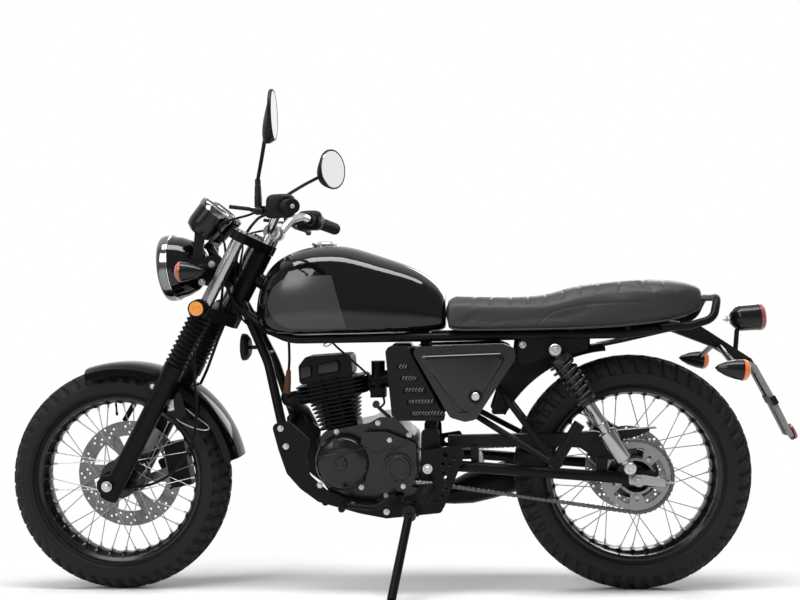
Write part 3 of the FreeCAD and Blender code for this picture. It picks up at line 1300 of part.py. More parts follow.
def leaned(shape):
    """Leans the upright machine to the left until it stands on its side stand."""
    turn = math.radians(LEAN)
    crown = FRONT_TYRE_WIDTH / 2
    out = shape.copy()
    out.rotate(V(0, 0, 0), BACK, LEAN)
    out.translate(V(0, 0, crown * (1 - math.cos(turn))))
    return out


# Pieces let into, or coped round, the ones that carry them
TRIMS = (
    ("frame_cradle", ("frame_spine",)),
    ("frame_rear", ("frame_spine", "frame_cradle")),
    ("exhaust_pipe", ("cylinder_head", "frame_cradle")),
    ("air_box", ("frame_cradle", "frame_spine", "side_covers", "carburettor", "crankcase")),
    ("muffler", ("exhaust_pipe", "swingarm")),
    ("seat", ("frame_spine", "frame_rear")),
    ("fuel_tank", ("frame_spine",)),
    ("grab_rail", ("frame_rear", "seat")),
    ("chain_guard", ("swingarm",)),
    ("rear_caliper", ("swingarm",)),
    ("rear_fender", ("frame_rear", "frame_cradle", "chain_guard")),
    ("tail_bracket", ("frame_rear", "grab_rail", "rear_fender")),
    ("rear_lights", ("tail_bracket",)),
    ("footrests", ("frame_cradle",)),
    ("side_covers", ("footrests",)),
    ("horn", ("frame_cradle", "frame_spine")),
    ("mirrors", ("hand_controls",)),
    ("gauges", ("triple_clamps",)),
    ("front_lines", ("triple_clamps", "fork_sliders", "front_caliper", "gauges", "hand_controls", "front_fender")),
    ("front_indicators", ("headlight",)),
    ("foot_controls", ("crankcase", "engine_covers", "frame_cradle")),
)


def upright_parts():
    """Every node, drawn upright."""
    builders = {
        "frame_spine": frame_spine, "frame_cradle": frame_cradle, "frame_rear": frame_rear,
        "crankcase": crankcase, "engine_covers": engine_covers, "cylinder_barrel": cylinder_barrel,
        "cylinder_head": cylinder_head, "carburettor": carburettor, "air_box": air_box,
        "side_covers": side_covers, "exhaust_pipe": exhaust_pipe, "muffler": muffler, "swingarm": swingarm,
        "rear_shocks": rear_shocks, "rear_fender": rear_fender, "fuel_tank": fuel_tank, "seat": seat,
        "grab_rail": grab_rail, "tail_bracket": tail_bracket, "rear_lights": rear_lights,
        "footrests": footrests, "foot_controls": foot_controls, "drive_chain": drive_chain,
        "chain_guard": chain_guard, "horn": horn, "rear_caliper": rear_caliper,
        "triple_clamps": triple_clamps, "fork_tubes": fork_tubes, "fork_boots": fork_boots,
        "fork_sliders": fork_sliders, "handlebar": handlebar, "hand_controls": hand_controls,
        "mirrors": mirrors, "headlight": headlight, "gauges": gauges, "front_fender": front_fender,
        "front_indicators": front_indicators, "front_caliper": front_caliper, "front_lines": front_lines,
        "front_wheel": front_wheel, "front_disc": front_disc, "rear_wheel": rear_wheel,
        "rear_sprocket": rear_sprocket, "rear_disc": rear_disc, "side_stand": side_stand,
    }
    parts = {name: build() for name, build in builders.items()}
    for name, others in TRIMS:
        parts[name] = parts[name].cut([parts[other] for other in others])
    parts["front_tyre"] = tyre(FRONT_AXLE, FRONT_TYRE_RADIUS, FRONT_TYRE_WIDTH, FRONT_RIM_WIDTH)
    parts["rear_tyre"] = tyre(REAR_AXLE, REAR_TYRE_RADIUS, REAR_TYRE_WIDTH, REAR_RIM_WIDTH)
    return parts


def standing_shift(shapes):
    """The move that puts the middle of the standing machine's floor area at the origin."""
    boxes = [shape.optimalBoundingBox() for shape in shapes]
    low_x = min(box.XMin for box in boxes)
    high_x = max(box.XMax for box in boxes)
    low_y = min(box.YMin for box in boxes)
    high_y = max(box.YMax for box in boxes)
    return V(-(low_x + high_x) / 2, -(low_y + high_y) / 2, 0)


def main():
    os.makedirs("parts", exist_ok=True)
    parts = {name: leaned(shape) for name, shape in upright_parts().items()}
    shift = standing_shift(parts.values())
    for name, shape in parts.items():
        shape.translate(shift)
        shape.exportStep("parts/" + name + ".step")


if __name__ == "__main__":
    main()
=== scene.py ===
import math

import bmesh
import bpy
import numpy as np
from mathutils import Matrix, Vector


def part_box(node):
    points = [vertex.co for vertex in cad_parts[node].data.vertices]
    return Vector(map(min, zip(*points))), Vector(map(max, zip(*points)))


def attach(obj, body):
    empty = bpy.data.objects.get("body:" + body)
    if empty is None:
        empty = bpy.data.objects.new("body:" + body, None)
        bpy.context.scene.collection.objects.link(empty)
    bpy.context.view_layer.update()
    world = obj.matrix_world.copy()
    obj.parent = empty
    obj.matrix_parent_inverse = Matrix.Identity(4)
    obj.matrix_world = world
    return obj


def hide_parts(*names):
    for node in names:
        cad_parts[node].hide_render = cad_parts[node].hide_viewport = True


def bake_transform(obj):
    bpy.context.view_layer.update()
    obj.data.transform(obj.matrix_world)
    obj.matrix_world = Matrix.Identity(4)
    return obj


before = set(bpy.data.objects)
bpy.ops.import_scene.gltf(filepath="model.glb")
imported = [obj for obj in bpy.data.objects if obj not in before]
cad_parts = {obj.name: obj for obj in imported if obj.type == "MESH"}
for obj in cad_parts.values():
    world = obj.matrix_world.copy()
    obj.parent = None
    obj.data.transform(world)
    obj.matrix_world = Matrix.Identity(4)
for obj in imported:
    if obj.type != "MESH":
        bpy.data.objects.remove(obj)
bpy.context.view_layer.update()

# The stance: every shape below is worked out for the upright machine, in metres, with X rearward,
# Y to the rider's right and Z up, and is then leaned onto the side stand.
LEAN = math.radians(9.0)
FRONT_AXLE = np.array([-0.010, 0.0, 0.296])
REAR_AXLE = np.array([1.337, 0.0, 0.302])
RAKE = math.radians(28.3)
FORK_UP = np.array([math.sin(RAKE), 0.0, math.cos(RAKE)])
FORK_BACK = np.array([math.cos(RAKE), 0.0, -math.sin(RAKE)])
tyre_low, tyre_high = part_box("front_tyre")
STANDING_AXLE = (np.array(tyre_low) + np.array(tyre_high)) / 2


def leaned(vectors):
    """Directions turned about X by the lean: y' = y cos a - z sin a, z' = y sin a + z cos a."""
    v = np.asarray(vectors, float).reshape(-1, 3)
    c, s = math.cos(LEAN), math.sin(LEAN)
    return np.column_stack([v[:, 0], v[:, 1] * c - v[:, 2] * s, v[:, 1] * s + v[:, 2] * c])


def stood(points):
    """Upright points to the standing machine: turned by the lean about the front axle, which is then moved to
    where the frame has it."""
    return leaned(np.asarray(points, float).reshape(-1, 3) - FRONT_AXLE) + STANDING_AXLE


def fork_at(along, y=0.0, back=0.0):
    """A point of the fork: so far up the legs from the axle, to the side, and behind the leg line."""
    return FRONT_AXLE + FORK_UP * along + FORK_BACK * (0.0137 + back) + np.array([0.0, y, 0.0])


# Camera at the photograph's angle: level with the seat, a little to the rear, 2.4 m from the machine.
# It leans with the machine, so that the machine stands upright in the picture.
CAMERA_SPOT = np.array([0.917, -2.418, 0.757])
CAMERA_YAW = math.radians(4.04)
CAMERA_ROLL = 0.0201
level = np.array([math.cos(CAMERA_YAW), math.sin(CAMERA_YAW), 0.0])
upright = np.array([0.0, 0.0, 1.0])
ahead = np.array([-math.sin(CAMERA_YAW), math.cos(CAMERA_YAW), 0.0])
camera_axes = leaned([level * math.cos(CAMERA_ROLL) - upright * math.sin(CAMERA_ROLL),
                      upright * math.cos(CAMERA_ROLL) + level * math.sin(CAMERA_ROLL), -ahead])
camera = bpy.data.objects.new("camera", bpy.data.cameras.new("camera"))
camera.data.lens = 41.4
camera.data.sensor_width = 36.0
camera.data.clip_end = 60.0
placing = Matrix.Identity(4)
for column in range(3):
    for row in range(3):
        placing[row][column] = camera_axes[column][row]
camera.matrix_world = Matrix.Translation(Vector(stood(CAMERA_SPOT)[0])) @ placing
bpy.context.scene.collection.objects.link(camera)
bpy.context.scene.camera = camera
bpy.context.scene.view_settings.view_transform = "Standard"

# Studio: a pale floor under the tyres, three large soft lamps and a white surround. The surround is white
# to the camera and behind the machine. In reflections its side toward the camera is a darker room.
FLOOR_PALE = (0.82, 0.82, 0.82, 1.0)
SURROUND_FILL = 0.30
ROOM_TONE = 0.30
LAMPS = (("overhead", (0.0, -0.9, 3.2), (0.0, 0.1, 0.5), 3.4, 0.9, 120.0),
         ("camera_side", (-1.9, -3.0, 2.3), (-0.1, 0.0, 0.6), 1.8, 1.8, 70.0),
         ("behind", (1.6, 2.8, 2.4), (0.0, 0.0, 0.6), 2.2, 1.6, 60.0))


def shader_graph(material):
    """A material's node tree, its Principled shader and its output, emptied of everything else."""
    material.use_nodes = True
    tree = material.node_tree
    tree.nodes.clear()
    output = tree.nodes.new("ShaderNodeOutputMaterial")
    principled = tree.nodes.new("ShaderNodeBsdfPrincipled")
    tree.links.new(principled.outputs[0], output.inputs[0])
    return tree, principled, output


for name, spot, target, width, depth, power in LAMPS:
    lamp = bpy.data.objects.new(name, bpy.data.lights.new(name, "AREA"))
    lamp.data.shape = "RECTANGLE"
    lamp.data.size = width
    lamp.data.size_y = depth
    lamp.data.energy = power
    lamp.location = spot
    lamp.rotation_euler = (Vector(target) - Vector(spot)).to_track_quat("-Z", "Y").to_euler()
    bpy.context.scene.collection.objects.link(lamp)

world = bpy.data.worlds.new("surround")
bpy.context.scene.world = world
world.use_nodes = True
sky = world.node_tree
sky.nodes.clear()
rays = sky.nodes.new("ShaderNodeLightPath")
camera_or_gloss = sky.nodes.new("ShaderNodeMath")
camera_or_gloss.operation = "MAXIMUM"
shown = sky.nodes.new("ShaderNodeMath")
shown.operation = "MAXIMUM"
sky.links.new(rays.outputs["Is Camera Ray"], camera_or_gloss.inputs[0])
sky.links.new(rays.outputs["Is Glossy Ray"], camera_or_gloss.inputs[1])
sky.links.new(camera_or_gloss.outputs[0], shown.inputs[0])
sky.links.new(rays.outputs["Is Transmission Ray"], shown.inputs[1])
fill = sky.nodes.new("ShaderNodeBackground")
fill.inputs["Color"].default_value = (1.0, 1.0, 1.0, 1.0)
fill.inputs["Strength"].default_value = SURROUND_FILL
white = sky.nodes.new("ShaderNodeBackground")
white.inputs["Color"].default_value = (1.0, 1.0, 1.0, 1.0)
white.inputs["Strength"].default_value = 1.0
choice = sky.nodes.new("ShaderNodeMixShader")
sky.links.new(shown.outputs[0], choice.inputs[0])
sky.links.new(fill.outputs[0], choice.inputs[1])
sky.links.new(white.outputs[0], choice.inputs[2])
way = sky.nodes.new("ShaderNodeTexCoord")
way_parts = sky.nodes.new("ShaderNodeSeparateXYZ")
room = sky.nodes.new("ShaderNodeMapRange")
room.inputs["From Min"].default_value = -0.35
room.inputs["From Max"].default_value = 0.10
room.inputs["To Min"].default_value = ROOM_TONE
room.inputs["To Max"].default_value = 1.0
sky.links.new(way.outputs["Generated"], way_parts.inputs[0])
sky.links.new(way_parts.outputs["Y"], room.inputs["Value"])
gloss_only = sky.nodes.new("ShaderNodeMix")
gloss_only.data_type = "FLOAT"
gloss_only.inputs[2].default_value = 1.0
sky.links.new(rays.outputs["Is Glossy Ray"], gloss_only.inputs[0])
sky.links.new(room.outputs[0], gloss_only.inputs[3])
sky.links.new(gloss_only.outputs[0], white.inputs["Strength"])
sky_out = sky.nodes.new("ShaderNodeOutputWorld")
sky.links.new(choice.outputs[0], sky_out.inputs[0])

floor_mesh = bpy.data.meshes.new("floor")
floor_mesh.from_pydata([(-14, -14, 0), (14, -14, 0), (14, 14, 0), (-14, 14, 0)], [], [(0, 1, 2, 3)])
floor = bpy.data.objects.new("floor", floor_mesh)
bpy.context.scene.collection.objects.link(floor)
floor_paint = bpy.data.materials.new("floor_paint")
tree, principled, output = shader_graph(floor_paint)
principled.inputs["Base Color"].default_value = FLOOR_PALE
principled.inputs["Roughness"].default_value = 0.9
principled.inputs["Specular IOR Level"].default_value = 0.0
seen = tree.nodes.new("ShaderNodeLightPath")
place = tree.nodes.new("ShaderNodeTexCoord")
near = tree.nodes.new("ShaderNodeMapping")
near.inputs["Location"].default_value = (0.0, -0.05, 0.0)
near.inputs["Scale"].default_value = (0.55, 0.9, 1.0)
far = tree.nodes.new("ShaderNodeVectorMath")
far.operation = "LENGTH"
fade = tree.nodes.new("ShaderNodeMapRange")
fade.interpolation_type = "SMOOTHSTEP"
fade.inputs["From Min"].default_value = 0.45
fade.inputs["From Max"].default_value = 1.15
both = tree.nodes.new("ShaderNodeMath")
both.operation = "MULTIPLY"
glow = tree.nodes.new("ShaderNodeEmission")
glow.inputs["Color"].default_value = (1.0, 1.0, 1.0, 1.0)
blend = tree.nodes.new("ShaderNodeMixShader")
tree.links.new(place.outputs["Object"], near.inputs["Vector"])
tree.links.new(near.outputs[0], far.inputs[0])
tree.links.new(far.outputs["Value"], fade.inputs["Value"])
tree.links.new(fade.outputs[0], both.inputs[0])
tree.links.new(seen.outputs["Is Camera Ray"], both.inputs[1])
tree.links.new(both.outputs[0], blend.inputs[0])
tree.links.new(principled.outputs[0], blend.inputs[1])
tree.links.new(glow.outputs[0], blend.inputs[2])
tree.links.new(blend.outputs[0], output.inputs[0])
floor_mesh.materials.append(floor_paint)

# Frame: welded steel tubes and bolted plates in satin black, with the swingarm, the stand and the foot
# controls in the same paint. The machine is nearly all black, so its parts are told apart by gloss and
# grain: a group gives each finish its cloudy tone and fine height from noises of the finish's own scales.
cloudy = bpy.data.node_groups.new("cloudy_grain", "ShaderNodeTree")
for socket, default in (("Cloud Scale", 20.0), ("Grain Scale", 900.0)):
    cloudy.interface.new_socket(socket, in_out="INPUT", socket_type="NodeSocketFloat").default_value = default
for socket in ("Tone", "Height"):
    cloudy.interface.new_socket(socket, in_out="OUTPUT", socket_type="NodeSocketFloat")
ins = cloudy.nodes.new("NodeGroupInput")
outs = cloudy.nodes.new("NodeGroupOutput")
spot = cloudy.nodes.new("ShaderNodeTexCoord")
for scale, result in (("Cloud Scale", "Tone"), ("Grain Scale", "Height")):
    noise = cloudy.nodes.new("ShaderNodeTexNoise")
    noise.inputs["Detail"].default_value = 3.0
    cloudy.links.new(spot.outputs["Object"], noise.inputs["Vector"])
    cloudy.links.new(ins.outputs[scale], noise.inputs["Scale"])
    cloudy.links.new(noise.outputs[0], outs.inputs[result])


def finish(name, colour, rough, clouds=18.0, grain=900.0, bump=0.0, metallic=0.0, tint=0.15, specular=0.10):
    """One finish: its colour and roughness drift between two values with the cloudy tone, and the grain lifts
    the surface."""
    material = bpy.data.materials.new(name)
    tree, principled, output = shader_graph(material)
    group = tree.nodes.new("ShaderNodeGroup")
    group.node_tree = cloudy
    group.inputs["Cloud Scale"].default_value = clouds
    group.inputs["Grain Scale"].default_value = grain
    drift = tree.nodes.new("ShaderNodeMapRange")
    drift.inputs["From Min"].default_value = 0.3
    drift.inputs["From Max"].default_value = 0.7
    drift.inputs["To Min"].default_value = rough[0]
    drift.inputs["To Max"].default_value = rough[1]
    tree.links.new(group.outputs["Tone"], drift.inputs["Value"])
    tree.links.new(drift.outputs[0], principled.inputs["Roughness"])
    shade = tree.nodes.new("ShaderNodeMix")
    shade.data_type = "RGBA"
    shade.inputs[6].default_value = (*[c * (1 - tint) for c in colour], 1.0)
    shade.inputs[7].default_value = (*[c * (1 + tint) for c in colour], 1.0)
    tree.links.new(group.outputs["Tone"], shade.inputs[0])
    tree.links.new(shade.outputs[2], principled.inputs["Base Color"])
    if bump:
        lift = tree.nodes.new("ShaderNodeBump")
        lift.inputs["Strength"].default_value = 1.0
        lift.inputs["Distance"].default_value = bump
        tree.links.new(group.outputs["Height"], lift.inputs["Height"])
        tree.links.new(lift.outputs[0], principled.inputs["Normal"])
    principled.inputs["Metallic"].default_value = metallic
    principled.inputs["Specular IOR Level"].default_value = specular
    return material


# A solid that shows as it is has its facets welded and is shaded smooth up to an edge of 38 degrees, so
# that bent tubes read round and cut edges stay crisp.
SHARP_EDGE = math.radians(38.0)
softened = bpy.data.node_groups.new("softened_facets", "GeometryNodeTree")
softened.interface.new_socket("Geometry", in_out="INPUT", socket_type="NodeSocketGeometry")
softened.interface.new_socket("Geometry", in_out="OUTPUT", socket_type="NodeSocketGeometry")
ins = softened.nodes.new("NodeGroupInput")
outs = softened.nodes.new("NodeGroupOutput")
weld = softened.nodes.new("GeometryNodeMergeByDistance")
weld.inputs["Distance"].default_value = 0.00002
all_smooth = softened.nodes.new("GeometryNodeSetShadeSmooth")
all_smooth.domain = "FACE"
all_smooth.inputs["Shade Smooth"].default_value = True
crisp = softened.nodes.new("GeometryNodeSetShadeSmooth")
crisp.domain = "EDGE"
crisp.inputs["Shade Smooth"].default_value = False
angle = softened.nodes.new("GeometryNodeInputMeshEdgeAngle")
over = softened.nodes.new("FunctionNodeCompare")
over.data_type = "FLOAT"
over.operation = "GREATER_THAN"
over.inputs["B"].default_value = SHARP_EDGE
softened.links.new(ins.outputs[0], weld.inputs["Geometry"])
softened.links.new(weld.outputs[0], all_smooth.inputs["Geometry"])
softened.links.new(all_smooth.outputs[0], crisp.inputs["Geometry"])
softened.links.new(angle.outputs["Unsigned Angle"], over.inputs["A"])
softened.links.new(over.outputs[0], crisp.inputs["Selection"])
softened.links.new(crisp.outputs[0], outs.inputs[0])


def dress(material, *nodes):
    """Gives CAD nodes their finish and the smooth shading."""
    for node in nodes:
        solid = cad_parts[node]
        solid.data.materials.clear()
        solid.data.materials.append(material)
        solid.modifiers.new("softened", "NODES").node_group = softened


frame_paint = finish("frame_paint", (0.0045, 0.0045, 0.0048), (0.28, 0.40), grain=700.0, bump=0.00006)
dress(frame_paint, "frame_spine", "frame_cradle", "frame_rear", "swingarm", "grab_rail", "side_stand",
      "footrests", "foot_controls")

# Tyres: black rubber over the rims, a crowned tread of blocks parted by zigzag grooves, and a plain wall
# with a rim guard. The tread is a height taken from a grid of turn and place across the tyre.
tyre_rubber = finish("tyre_rubber", (0.0115, 0.0115, 0.0120), (0.52, 0.70), clouds=14.0, grain=1400.0,
                     bump=0.00012, tint=0.35, specular=0.14)
TYRE_STEPS = 1040
GROOVE_DEPTH = 0.0068


def new_piece(name, points, faces, material, body, sharp=38.0):
    """Puts upright points and faces into a mesh that stands with the machine; faces look outward, edges over
    the sharp angle stay crisp."""
    mesh = bpy.data.meshes.new(name)
    mesh.from_pydata(stood(points).tolist(), [], [list(map(int, f)) for f in faces])
    built = bmesh.new()
    built.from_mesh(mesh)
    bmesh.ops.remove_doubles(built, verts=built.verts, dist=0.000002)
    bmesh.ops.recalc_face_normals(built, faces=built.faces)
    built.to_mesh(mesh)
    built.free()
    mesh.shade_smooth()
    mesh.set_sharp_from_angle(angle=math.radians(sharp))
    mesh.materials.append(material)
    piece = bpy.data.objects.new(name, mesh)
    bpy.context.scene.collection.objects.link(piece)
    if body:
        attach(piece, body)
    return piece


def grid_faces(rows, columns, wrap_rows=False, wrap_columns=False):
    """Quads between neighbours of a grid, row by row, joined end to start where it wraps."""
    r, c = np.meshgrid(np.arange(rows if wrap_rows else rows - 1),
                       np.arange(columns if wrap_columns else columns - 1), indexing="ij")
    r2, c2 = (r + 1) % rows, (c + 1) % columns
    return np.stack([r * columns + c, r * columns + c2, r2 * columns + c2, r2 * columns + c], -1).reshape(-1, 4)


def smooth_line(points, count):
    """Even steps along a smooth line through points: each span is the cubic that Catmull and Rom gave,
    p = a + b t + c t^2 + d t^3 with slopes of half the step between the neighbours."""
    p = np.asarray(points, float)
    p = np.vstack([2 * p[0] - p[1], p, 2 * p[-1] - p[-2]])
    t = np.linspace(0, 1, 17)[:-1, None]
    spans = []
    for i in range(1, len(p) - 2):
        a, b, c, d = p[i - 1], p[i], p[i + 1], p[i + 2]
        spans.append(b + 0.5 * t * (c - a) + t * t * (a - 2.5 * b + 2 * c - 0.5 * d)
                     + t ** 3 * (1.5 * b - 1.5 * c + 0.5 * d - 0.5 * a))
    line = np.vstack(spans + [p[-2][None]])
    gone = np.concatenate([[0], np.cumsum(np.linalg.norm(np.diff(line, axis=0), axis=1))])
    even = np.linspace(0, gone[-1], count)
    return np.column_stack([np.interp(even, gone, line[:, k]) for k in range(line.shape[1])])


def tyre_surface(name, axle, radius, half, rim_half, pitches, lug, body):
    """A tyre: (r, y) of the section, turned through the angle u, less the groove's depth along the section's
    own normal. The grooves are a zigzag band each side and slanted cuts that run out over the shoulder."""
    drop = np.array([(0, 0), (0.002, 0.16), (0.011, 0.34), (0.027, 0.52), (0.052, 0.70), (0.088, 0.86),
                     (0.13, 0.955), (0.18, 1.0), (0.225, 0.985)])
    outer = np.column_stack([radius - drop[:, 0] * radius * 0.9, drop[:, 1] * half])
    wall = [(0.236, half * 0.95), (0.230, half * 0.90), (0.2275, rim_half + 0.004), (0.2235, rim_half + 0.002),
            (0.219, rim_half - 0.003)]
    right = smooth_line(np.vstack([outer, wall]), 46)
    section = np.vstack([right[::-1] * [1, -1], right[1:]])
    slope = np.gradient(section, axis=0)
    out = np.column_stack([slope[:, 1], -slope[:, 0]]) / np.linalg.norm(slope, axis=1, keepdims=True)
    u = np.linspace(0, 2 * math.pi, TYRE_STEPS, endpoint=False)[:, None]
    r = section[None, :, 0] + 0 * u
    y = section[None, :, 1] + 0 * u
    s = y / half
    step = u * pitches / (2 * math.pi) + np.where(y > 0, 0.5, 0.0)
    zig = np.abs((step % 1.0) - 0.5) * 2
    band = np.abs(np.abs(s) - (0.28 + 0.12 * zig)) / 0.040
    wedge = 0.055 + 0.13 * np.clip((np.abs(s) - 0.45) / 0.5, 0, 1)
    slant = (step + 0.50 * np.abs(s) ** 1.5) % 1.0
    cross = np.abs(slant - 0.5) / wedge + np.where(np.abs(s) < 0.34, 9.0, 0.0)
    stagger = np.abs(np.abs(s) - (0.66 + 0.07 * zig)) / 0.026
    middle = np.abs(((step + 0.9 * s) % 1.0) - 0.5) / 0.06 + np.where(np.abs(s) > 0.32, 9.0, 0.0)
    groove = np.clip(1.7 - np.minimum(np.minimum(band, cross), middle), 0, 1)
    groove = np.maximum(groove, 0.55 * np.clip(1.6 - stagger, 0, 1))
    fade = np.clip((r - radius * (1 - lug)) / (radius * 0.008), 0, 1)
    depth = GROOVE_DEPTH * groove * fade
    r, y = r - depth * out[None, :, 0], y - depth * out[None, :, 1]
    ridge = np.exp(-((section[None, :, 0] - radius * (1 - lug) + 0.004) / 0.0016) ** 2) * 0.0009
    y = y + np.sign(y) * ridge
    x, z = r * np.cos(u), r * np.sin(u)
    points = np.stack([x, y, z], -1).reshape(-1, 3) + axle
    return new_piece(name, points, grid_faces(TYRE_STEPS, len(section), True, True), tyre_rubber, body,
                     sharp=50.0)


front_tread = tyre_surface("front_tread", FRONT_AXLE, radius=0.296, half=0.052, rim_half=0.031, pitches=48,
                           lug=0.122, body="front_wheel")
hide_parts("front_tyre")
rear_tread = tyre_surface("rear_tread", REAR_AXLE, radius=0.302, half=0.056, rim_half=0.037, pitches=50,
                          lug=0.142, body="rear_wheel")
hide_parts("rear_tyre")

# Wheels: black rims with a dimple for each nipple, black hubs with two drilled flanges, and thin bright
# spokes laced across their neighbours.
rim_enamel = finish("rim_enamel", (0.0038, 0.0038, 0.0042), (0.16, 0.26), clouds=25.0, grain=500.0,
                    bump=0.00003, specular=0.35)
spoke_steel = finish("spoke_steel", (0.30, 0.30, 0.31), (0.22, 0.34), clouds=40.0, metallic=1.0, tint=0.08)
zinc_steel = finish("zinc_steel", (0.50, 0.50, 0.49), (0.24, 0.38), clouds=120.0, metallic=1.0, tint=0.15)
SPOKES = 36
RIM_STEPS = 14


def across(axis):
    """Two unit vectors square to an axis and to each other."""
    a = np.asarray(axis, float) / np.linalg.norm(axis)
    first = np.cross(a, [0.0, 1.0, 0.0] if abs(a[1]) < 0.9 else [0.0, 0.0, 1.0])
    first /= np.linalg.norm(first)
    return a, first, np.cross(a, first)


def lathe(profile, centre, axis, steps=48, wrap=False):
    """A turned shape: the profile's (radius, height) pairs carried round the axis,
    centre + h a + r (f cos u + g sin u)."""
    a, f, g = across(axis)
    p = np.asarray(profile, float)
    u = np.linspace(0, 2 * math.pi, steps, endpoint=False)[:, None, None]
    ring = np.cos(u) * f + np.sin(u) * g
    points = np.asarray(centre) + p[None, :, 1, None] * a + p[None, :, 0, None] * ring
    return points.reshape(-1, 3), grid_faces(steps, len(p), True, wrap)


def gathered(shapes):
    """Several (points, faces) as one."""
    points, faces, start = [], [], 0
    for p, f in shapes:
        points.append(p)
        loops = f.tolist() if isinstance(f, np.ndarray) else f
        faces.extend([v + start for v in loop] for loop in loops)
        start += len(p)
    return np.vstack(points), faces


def rods(starts, ends, radius, sides=8, taper=1.0):
    """Many straight round bars at once, each capped: ring k of bar n is
    start + k (end - start) + r (f cos u + g sin u), k being 0 and 1."""
    s, e = np.asarray(starts, float).reshape(-1, 3), np.asarray(ends, float).reshape(-1, 3)
    a = (e - s) / np.linalg.norm(e - s, axis=1, keepdims=True)
    helper = np.where(np.abs(a[:, 1:2]) < 0.9, [[0.0, 1.0, 0.0]], [[0.0, 0.0, 1.0]])
    f = np.cross(a, helper)
    f /= np.linalg.norm(f, axis=1, keepdims=True)
    g = np.cross(a, f)
    u = np.linspace(0, 2 * math.pi, sides, endpoint=False)
    ring = radius * (np.cos(u)[None, :, None] * f[:, None] + np.sin(u)[None, :, None] * g[:, None])
    points = np.stack([s[:, None] + ring, e[:, None] + ring * taper], 1).reshape(-1, 3)
    k = np.arange(sides)
    side = np.stack([k, (k + 1) % sides, (k + 1) % sides + sides, k + sides], -1)
    base = np.arange(len(s)) * 2 * sides
    faces = (side[None] + base[:, None, None]).reshape(-1, 4).tolist()
    faces += (np.arange(sides)[None] + base[:, None]).tolist()
    faces += (np.arange(sides)[None] + sides + base[:, None]).tolist()
    return points, faces


def wheel_pieces(label, axle, rim_half, flange_radius, flange_y, hub, hub_half, body, node):
    """Rim, hub, spokes and nipples of one wheel; rim and hub are turned sections, and the rim's well swells
    by a dimple at each spoke."""
    lip = 0.004
    section = np.array([(0.222, -rim_half), (0.222, -rim_half + lip), (0.2135, -rim_half + lip + 0.001),
                        (0.2125, -rim_half * 0.55), (0.207, -rim_half * 0.42), (0.207, rim_half * 0.42),
                        (0.2125, rim_half * 0.55), (0.2135, rim_half - lip - 0.001), (0.222, rim_half - lip),
                        (0.222, rim_half), (0.2165, rim_half + 0.001), (0.2095, rim_half - 0.003),
                        (0.2080, rim_half * 0.62), (0.2035, rim_half * 0.44), (0.2015, rim_half * 0.30),
                        (0.2010, 0.0), (0.2015, -rim_half * 0.30), (0.2035, -rim_half * 0.44),
                        (0.2080, -rim_half * 0.62), (0.2095, -rim_half + 0.003), (0.2165, -rim_half - 0.001)])
    steps = SPOKES * RIM_STEPS
    u = np.linspace(0, 2 * math.pi, steps, endpoint=False)[:, None]
    near = np.abs(((u * SPOKES / (2 * math.pi)) + 0.5) % 1.0 - 0.5)
    inner = np.zeros(len(section))
    inner[13:18] = 1.0
    r = section[None, :, 0] - 0.0032 * np.exp(-(near / 0.17) ** 2) * inner
    points = np.stack([r * np.cos(u), section[None, :, 1] + 0 * u, r * np.sin(u)], -1).reshape(-1, 3) + axle
    rim = new_piece(label + "_rim", points, grid_faces(steps, len(section), True, True), rim_enamel, body)
    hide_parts(node)
    f = flange_y
    shell = [(0.0082, -hub_half), (hub * 0.72, -hub_half), (hub, -hub_half + 0.004), (hub, -f - 0.006),
             (flange_radius + 0.005, -f - 0.004), (flange_radius + 0.006, -f - 0.001),
             (flange_radius + 0.003, -f + 0.002), (hub + 0.004, -f + 0.009), (hub * 0.86, -f * 0.4),
             (hub * 0.86, f * 0.4), (hub + 0.004, f - 0.009), (flange_radius + 0.003, f - 0.002),
             (flange_radius + 0.006, f + 0.001), (flange_radius + 0.005, f + 0.004),
             (hub, f + 0.006), (hub, hub_half - 0.004), (hub * 0.72, hub_half), (0.0082, hub_half)]
    core = new_piece(label + "_hub", *lathe(shell, axle, (0, 1, 0), 64, True), rim_enamel, body)
    k = np.arange(SPOKES)
    side = np.where(k % 2, 1.0, -1.0)
    twist = np.where((k // 2) % 2, 1.0, -1.0) * math.radians(52)
    at_rim, at_hub = k * 2 * math.pi / SPOKES, k * 2 * math.pi / SPOKES + twist
    hubs = np.stack([flange_radius * np.cos(at_hub), side * f, flange_radius * np.sin(at_hub)], -1) + axle
    rims = np.stack([0.2015 * np.cos(at_rim), side * 0.006, 0.2015 * np.sin(at_rim)], -1) + axle
    way = (rims - hubs) / np.linalg.norm(rims - hubs, axis=1, keepdims=True)
    heads = rods(hubs - np.column_stack([0 * k, side * 0.005, 0 * k]),
                 hubs + np.column_stack([0 * k, side * 0.0035, 0 * k]),
                 0.0032, 8)
    laced = new_piece(label + "_spokes", *gathered([rods(hubs, rims, 0.00125, 8), heads]), spoke_steel, body)
    nipples = new_piece(label + "_nipples", *rods(rims - way * 0.013, rims + way * 0.002, 0.0026, 6, 1.3),
                        zinc_steel, body)


wheel_pieces("front", FRONT_AXLE, rim_half=0.035, flange_radius=0.046, flange_y=0.030, hub=0.027,
             hub_half=0.042, body="front_wheel", node="front_wheel")
wheel_pieces("rear", REAR_AXLE, rim_half=0.041, flange_radius=0.058, flange_y=0.028, hub=0.034, hub_half=0.048,
             body="rear_wheel", node="rear_wheel")

